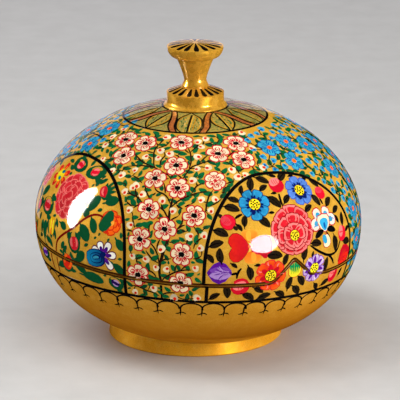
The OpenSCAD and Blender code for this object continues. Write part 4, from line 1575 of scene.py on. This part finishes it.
def paintCrown():
    zone, low, high = "crownLines", crown["inner"], crown["outer"]
    for radius in (low + 3.2, low + 9.0, high - 3.2):  # the ground, in three broad rings
        planRing("crownPetals", radius, 3.05, 30, 0, "leaf")
    for radius, half in ((high, 0.55), (low, 0.45)):
        planRing(zone, radius, half, 30.8, 3, "black")
    pitch = 360 / crown["petals"]
    w = np.linspace(0, 1, 19)
    for i in range(crown["petals"]):
        # a petal with dark edges, a gold line inside each and a thick midrib with gold beside it
        shape = "pointed" if i % 2 else "round"
        turn = crown["shift"] + i * pitch
        r = low + 0.4 + (high - 0.4 - low) * w
        bow = smoothed(crown[shape], w)
        thick = crown["edge"] * (0.75 + 0.35 * np.sin(math.pi * w))
        for way in (-1, 1):
            drawPlan(zone, turn, r, way * bow, thick, 2, "black")
            drawPlan(zone, turn, r[2:-2], way * (bow[2:-2] - 0.85), np.full(15, 0.26), 1,
                     "deepGold")
        lean = 0.9 * (w - 0.5)
        drawPlan(zone, turn, r[2:], -lean[2:], thick[2:] * 1.1, 2, "black")
        drawPlan(zone, turn, r[3:-1], -lean[3:-1] + 0.9, np.full(15, 0.28), 1, "gold")
        drawPlan(zone, turn, r[5:-2], -lean[5:-2] + 2.3, np.full(12, 0.22), 1, "deepGold")
        for k in range(34):  # loose dabs of green, gold and brown inside the petal
            place = vary(0.2, 0.9)
            side = vary(-0.8, 0.8) * np.interp(place, *crown[shape])
            n = np.linspace(0, 1, 4)
            tone = ("darkLeaf", "leaf", "gold", "darkLeaf", "olive")[k % 5]
            drawPlan(zone, turn, low + (high - low) * place + 1.5 * n, side + 0.3 * n,
                     np.full(4, 0.2), 0.8, tone)
        # the flame between two petals, bent like an S between dark edges
        side = turn + pitch / 2
        bend = smoothed(crown["sweep"], w) * (-1 if i % 2 == 0 else 1)
        wide = crown["band"] * (0.85 + 0.3 * w)
        drawPlan("crownFlames", side, low + (high - low) * w, bend, wide, 2, "orange")
        for way in (-1, 1):
            drawPlan(zone, side, low + (high - low) * w, bend + way * wide, thick, 4,
                     "black")


# Dark wedges round the drum and on the cap of the knob, with sizes in mm
knob = {
    "seat": 108.15,
    "drum": [(13.1, 6.5), (6.0, 9.0)],  # radius and height over the seat, edge to bead
    "cap": (12.9, 27.7, 29.2),  # radius, height of the dome's edge and of its top
    # wedges of each part, and the shares of its slope where they begin and end
    "wedges": {"drum": (19, 0.08, 0.93), "cap": (16, 0.12, 0.96)},
}


# Outline tables for the drum's slope and the cap's dome, from the middle outwards
def knobOutline(part):
    if part == "drum":
        (r1, z1), (r0, z0) = knob["drum"]
        r, z = np.linspace(r0, r1, 20), np.linspace(z0, z1, 20)
    else:
        edge, low, top = knob["cap"]
        size = (edge**2 + (top - low) ** 2) / (2 * (top - low))
        r = np.linspace(0.01, edge, 40)
        z = top - size + np.sqrt(size**2 - r**2)
    s = np.concatenate([[0], np.cumsum(np.hypot(np.diff(r), np.diff(z)))])
    return r, z + knob["seat"], s


def knobSkin(part):
    tableR, tableZ, tableS = knobOutline(part)
    slope = np.gradient(tableZ, tableS), np.gradient(tableR, tableS)

    def place(a, s, h):
        r, z = np.interp(s, tableS, tableR), np.interp(s, tableS, tableZ)
        nr, nz = -np.interp(s, tableS, slope[0]), np.interp(s, tableS, slope[1])
        r, z = r + nr * h, z + nz * h
        spot = np.stack([r * np.sin(a) + body["axis"], -r * np.cos(a), z], -1)
        return spot, np.stack([nr * np.sin(a), -nr * np.cos(a), nz], -1)

    return {
        "radius": lambda s: np.maximum(np.interp(s, tableS, tableR), 0.3),
        "place": place,
        "length": tableS[-1],
    }


def paintKnob():
    for part, (count, begin, end) in knob["wedges"].items():
        skin, group = knobSkin(part), []
        length = skin["length"]
        for i in range(count):
            angle = 2 * math.pi * (i + 0.15 + vary(-0.1, 0.1)) / count
            near, far = length * begin, length * end * vary(0.96, 1)
            s = near + (far - near) * (1 - np.cos(np.linspace(0, math.pi, 9))) / 2
            wide = 2 * math.pi * skin["radius"](s) / count
            w = (s - near) / (far - near)
            half = 0.5 * wide * (0.34 + 0.4 * w) * np.minimum(1, 4 * (1.04 - w)) ** 0.5
            tint = np.tile(inks["black"] * vary(0.8, 1.2), (9, 1))
            group.append((np.full(9, angle), s, half, 0, tint))
        name = "knob_" + part + "_wedges"
        addPiece(name, paintMesh(name, group, skin), "lid", finishes["paint"])


paintPanel("blossoms", creamPanel, paintBlossom)
paintPanel("cornflowers", bluePanel, paintBlueBlossom)
paintRightMedallion()
paintLeftMedallion()
paintLines()
paintCrown()
paintKnob()
for zone in ("blossoms", "cornflowers", "rightFlowers", "leftFlowers"):
    strokes[zone + "Back"] = [(a + math.pi, *rest) for a, *rest in strokes[zone]]
    makePaint(zone, "paint")
    makePaint(zone + "Back", "paint")
for zone, finish in (("lines", "paint"), ("crownPetals", "stipple"), ("crownFlames", "flame"),
                     ("crownLines", "paint")):
    makePaint(zone, finish)
print("painting made")

view = {
    "aim": (0.00077, 0.0, 0.0628),
    "distance": 1.7294,
    "rise": math.radians(16.065),
    "focal": 3759.6,  # in pixels of a picture 400 wide
    "picture": 400,
    "sensor": 36.0,
}


def aimAt(thing, place, target):
    thing.location = place
    way = Vector(target) - Vector(place)
    thing.rotation_euler = way.to_track_quat("-Z", "Y").to_euler()


def makeCamera():
    lens = bpy.data.cameras.new("camera")
    lens.sensor_width = view["sensor"]
    lens.lens = view["focal"] * view["sensor"] / view["picture"]
    lens.clip_end = 50
    camera = inScene("camera", lens)
    back = (0, -math.cos(view["rise"]), math.sin(view["rise"]))
    place = [view["aim"][i] + back[i] * view["distance"] for i in range(3)]
    aimAt(camera, place, view["aim"])
    bpy.context.scene.camera = camera


studio = {
    # azimuth right of the front, height angle, distance, width, height (m), watts, colour,
    # and whether it only shows as a gleam in the lacquer
    "leftGleam": (-96.5, 17.5, 0.9, 0.22, 0.62, 24.0, (1, 1, 1), True),
    "backGleam": (-168, 2, 2.0, 1.5, 1.2, 7.0, (0.94, 0.88, 1), True),
    "rightGleam": (45, 5, 0.9, 0.33, 0.32, 17.0, (1, 1, 1), True),
    "left": (-85, 60, 1.2, 0.7, 0.7, 8.0, (1, 1, 1), False),
    "right": (80, 6, 1.2, 0.8, 0.9, 16.0, (1, 0.98, 0.95), False),
    "overhead": (30, 78, 1.3, 1.1, 0.8, 4.7, (0.96, 0.98, 1), False),
    "front": (26, 34, 1.5, 1.2, 0.9, 8.6, (1, 0.97, 0.92), False),
}
room = {
    "centre": (0, 0, 0.06),  # where the lamps aim
    "round": ("leftGleam", "rightGleam"),
    "colour": (0.92, 0.94, 1.0, 1),
    "strength": 0.4,
}


def makeStudio():
    for name, (turn, rise, away, wide, high, watts, colour, gleam) in studio.items():
        light = bpy.data.lights.new(name, "AREA")
        light.shape = "ELLIPSE" if name in room["round"] else "RECTANGLE"
        light.size, light.size_y = wide, high
        light.energy = watts
        light.color = colour
        lamp = inScene(name, light)
        lamp.visible_glossy = gleam
        lamp.visible_diffuse = not gleam
        lamp.visible_camera = False
        t, r = math.radians(turn), math.radians(rise)
        way = (math.sin(t) * math.cos(r), -math.cos(t) * math.cos(r), math.sin(r))
        aimAt(lamp, [room["centre"][i] + way[i] * away for i in range(3)], room["centre"])
    world = bpy.data.worlds.new("room")
    world.use_nodes = True
    back = world.node_tree.nodes["Background"]
    back.inputs["Color"].default_value = room["colour"]
    back.inputs["Strength"].default_value = room["strength"]
    world.cycles_visibility.glossy = False
    bpy.context.scene.world = world


# A pale table top that curves up far behind into a plain wall
def makeFloor():
    table = {"width": 6.0, "front": -4.0, "back": 2.2, "bend": 0.6, "wall": 2.5}
    turn = np.linspace(0, math.pi / 2, 24)
    y = np.concatenate([[table["front"], 0], table["back"] + table["bend"] * np.sin(turn)])
    z = np.concatenate([[0, 0], table["bend"] * (1 - np.cos(turn))])
    y, z = np.append(y, y[-1]), np.append(z, table["wall"])
    x = np.array([-table["width"] / 2, table["width"] / 2])
    points = np.stack([np.tile(x, len(y)), np.repeat(y, 2), np.repeat(z, 2)], -1)
    k = np.arange(len(y) - 1) * 2
    mesh = meshFrom("floor", points, [np.stack([k, k + 1, k + 3, k + 2], -1)])
    mesh.shade_smooth()
    floor = inScene("floor", mesh)
    material, tree, shader, place = nodeTree("pale_table")
    grain = noise(tree, 60, 3, place)
    tone = mixed(tree, ranged(tree, grain, 0, 1), (0.54, 0.53, 0.51), (0.5, 0.49, 0.47))
    tree.links.new(tone, shader.inputs["Base Color"])
    shader.inputs["Roughness"].default_value = 0.6
    mesh.materials.append(material)
    floor.visible_glossy = False  # the lacquer would mirror a pale floor as a haze


makeCamera()
makeStudio()
makeFloor()
bpy.context.scene.view_settings.view_transform = "Standard"
print("camera, light and floor made")
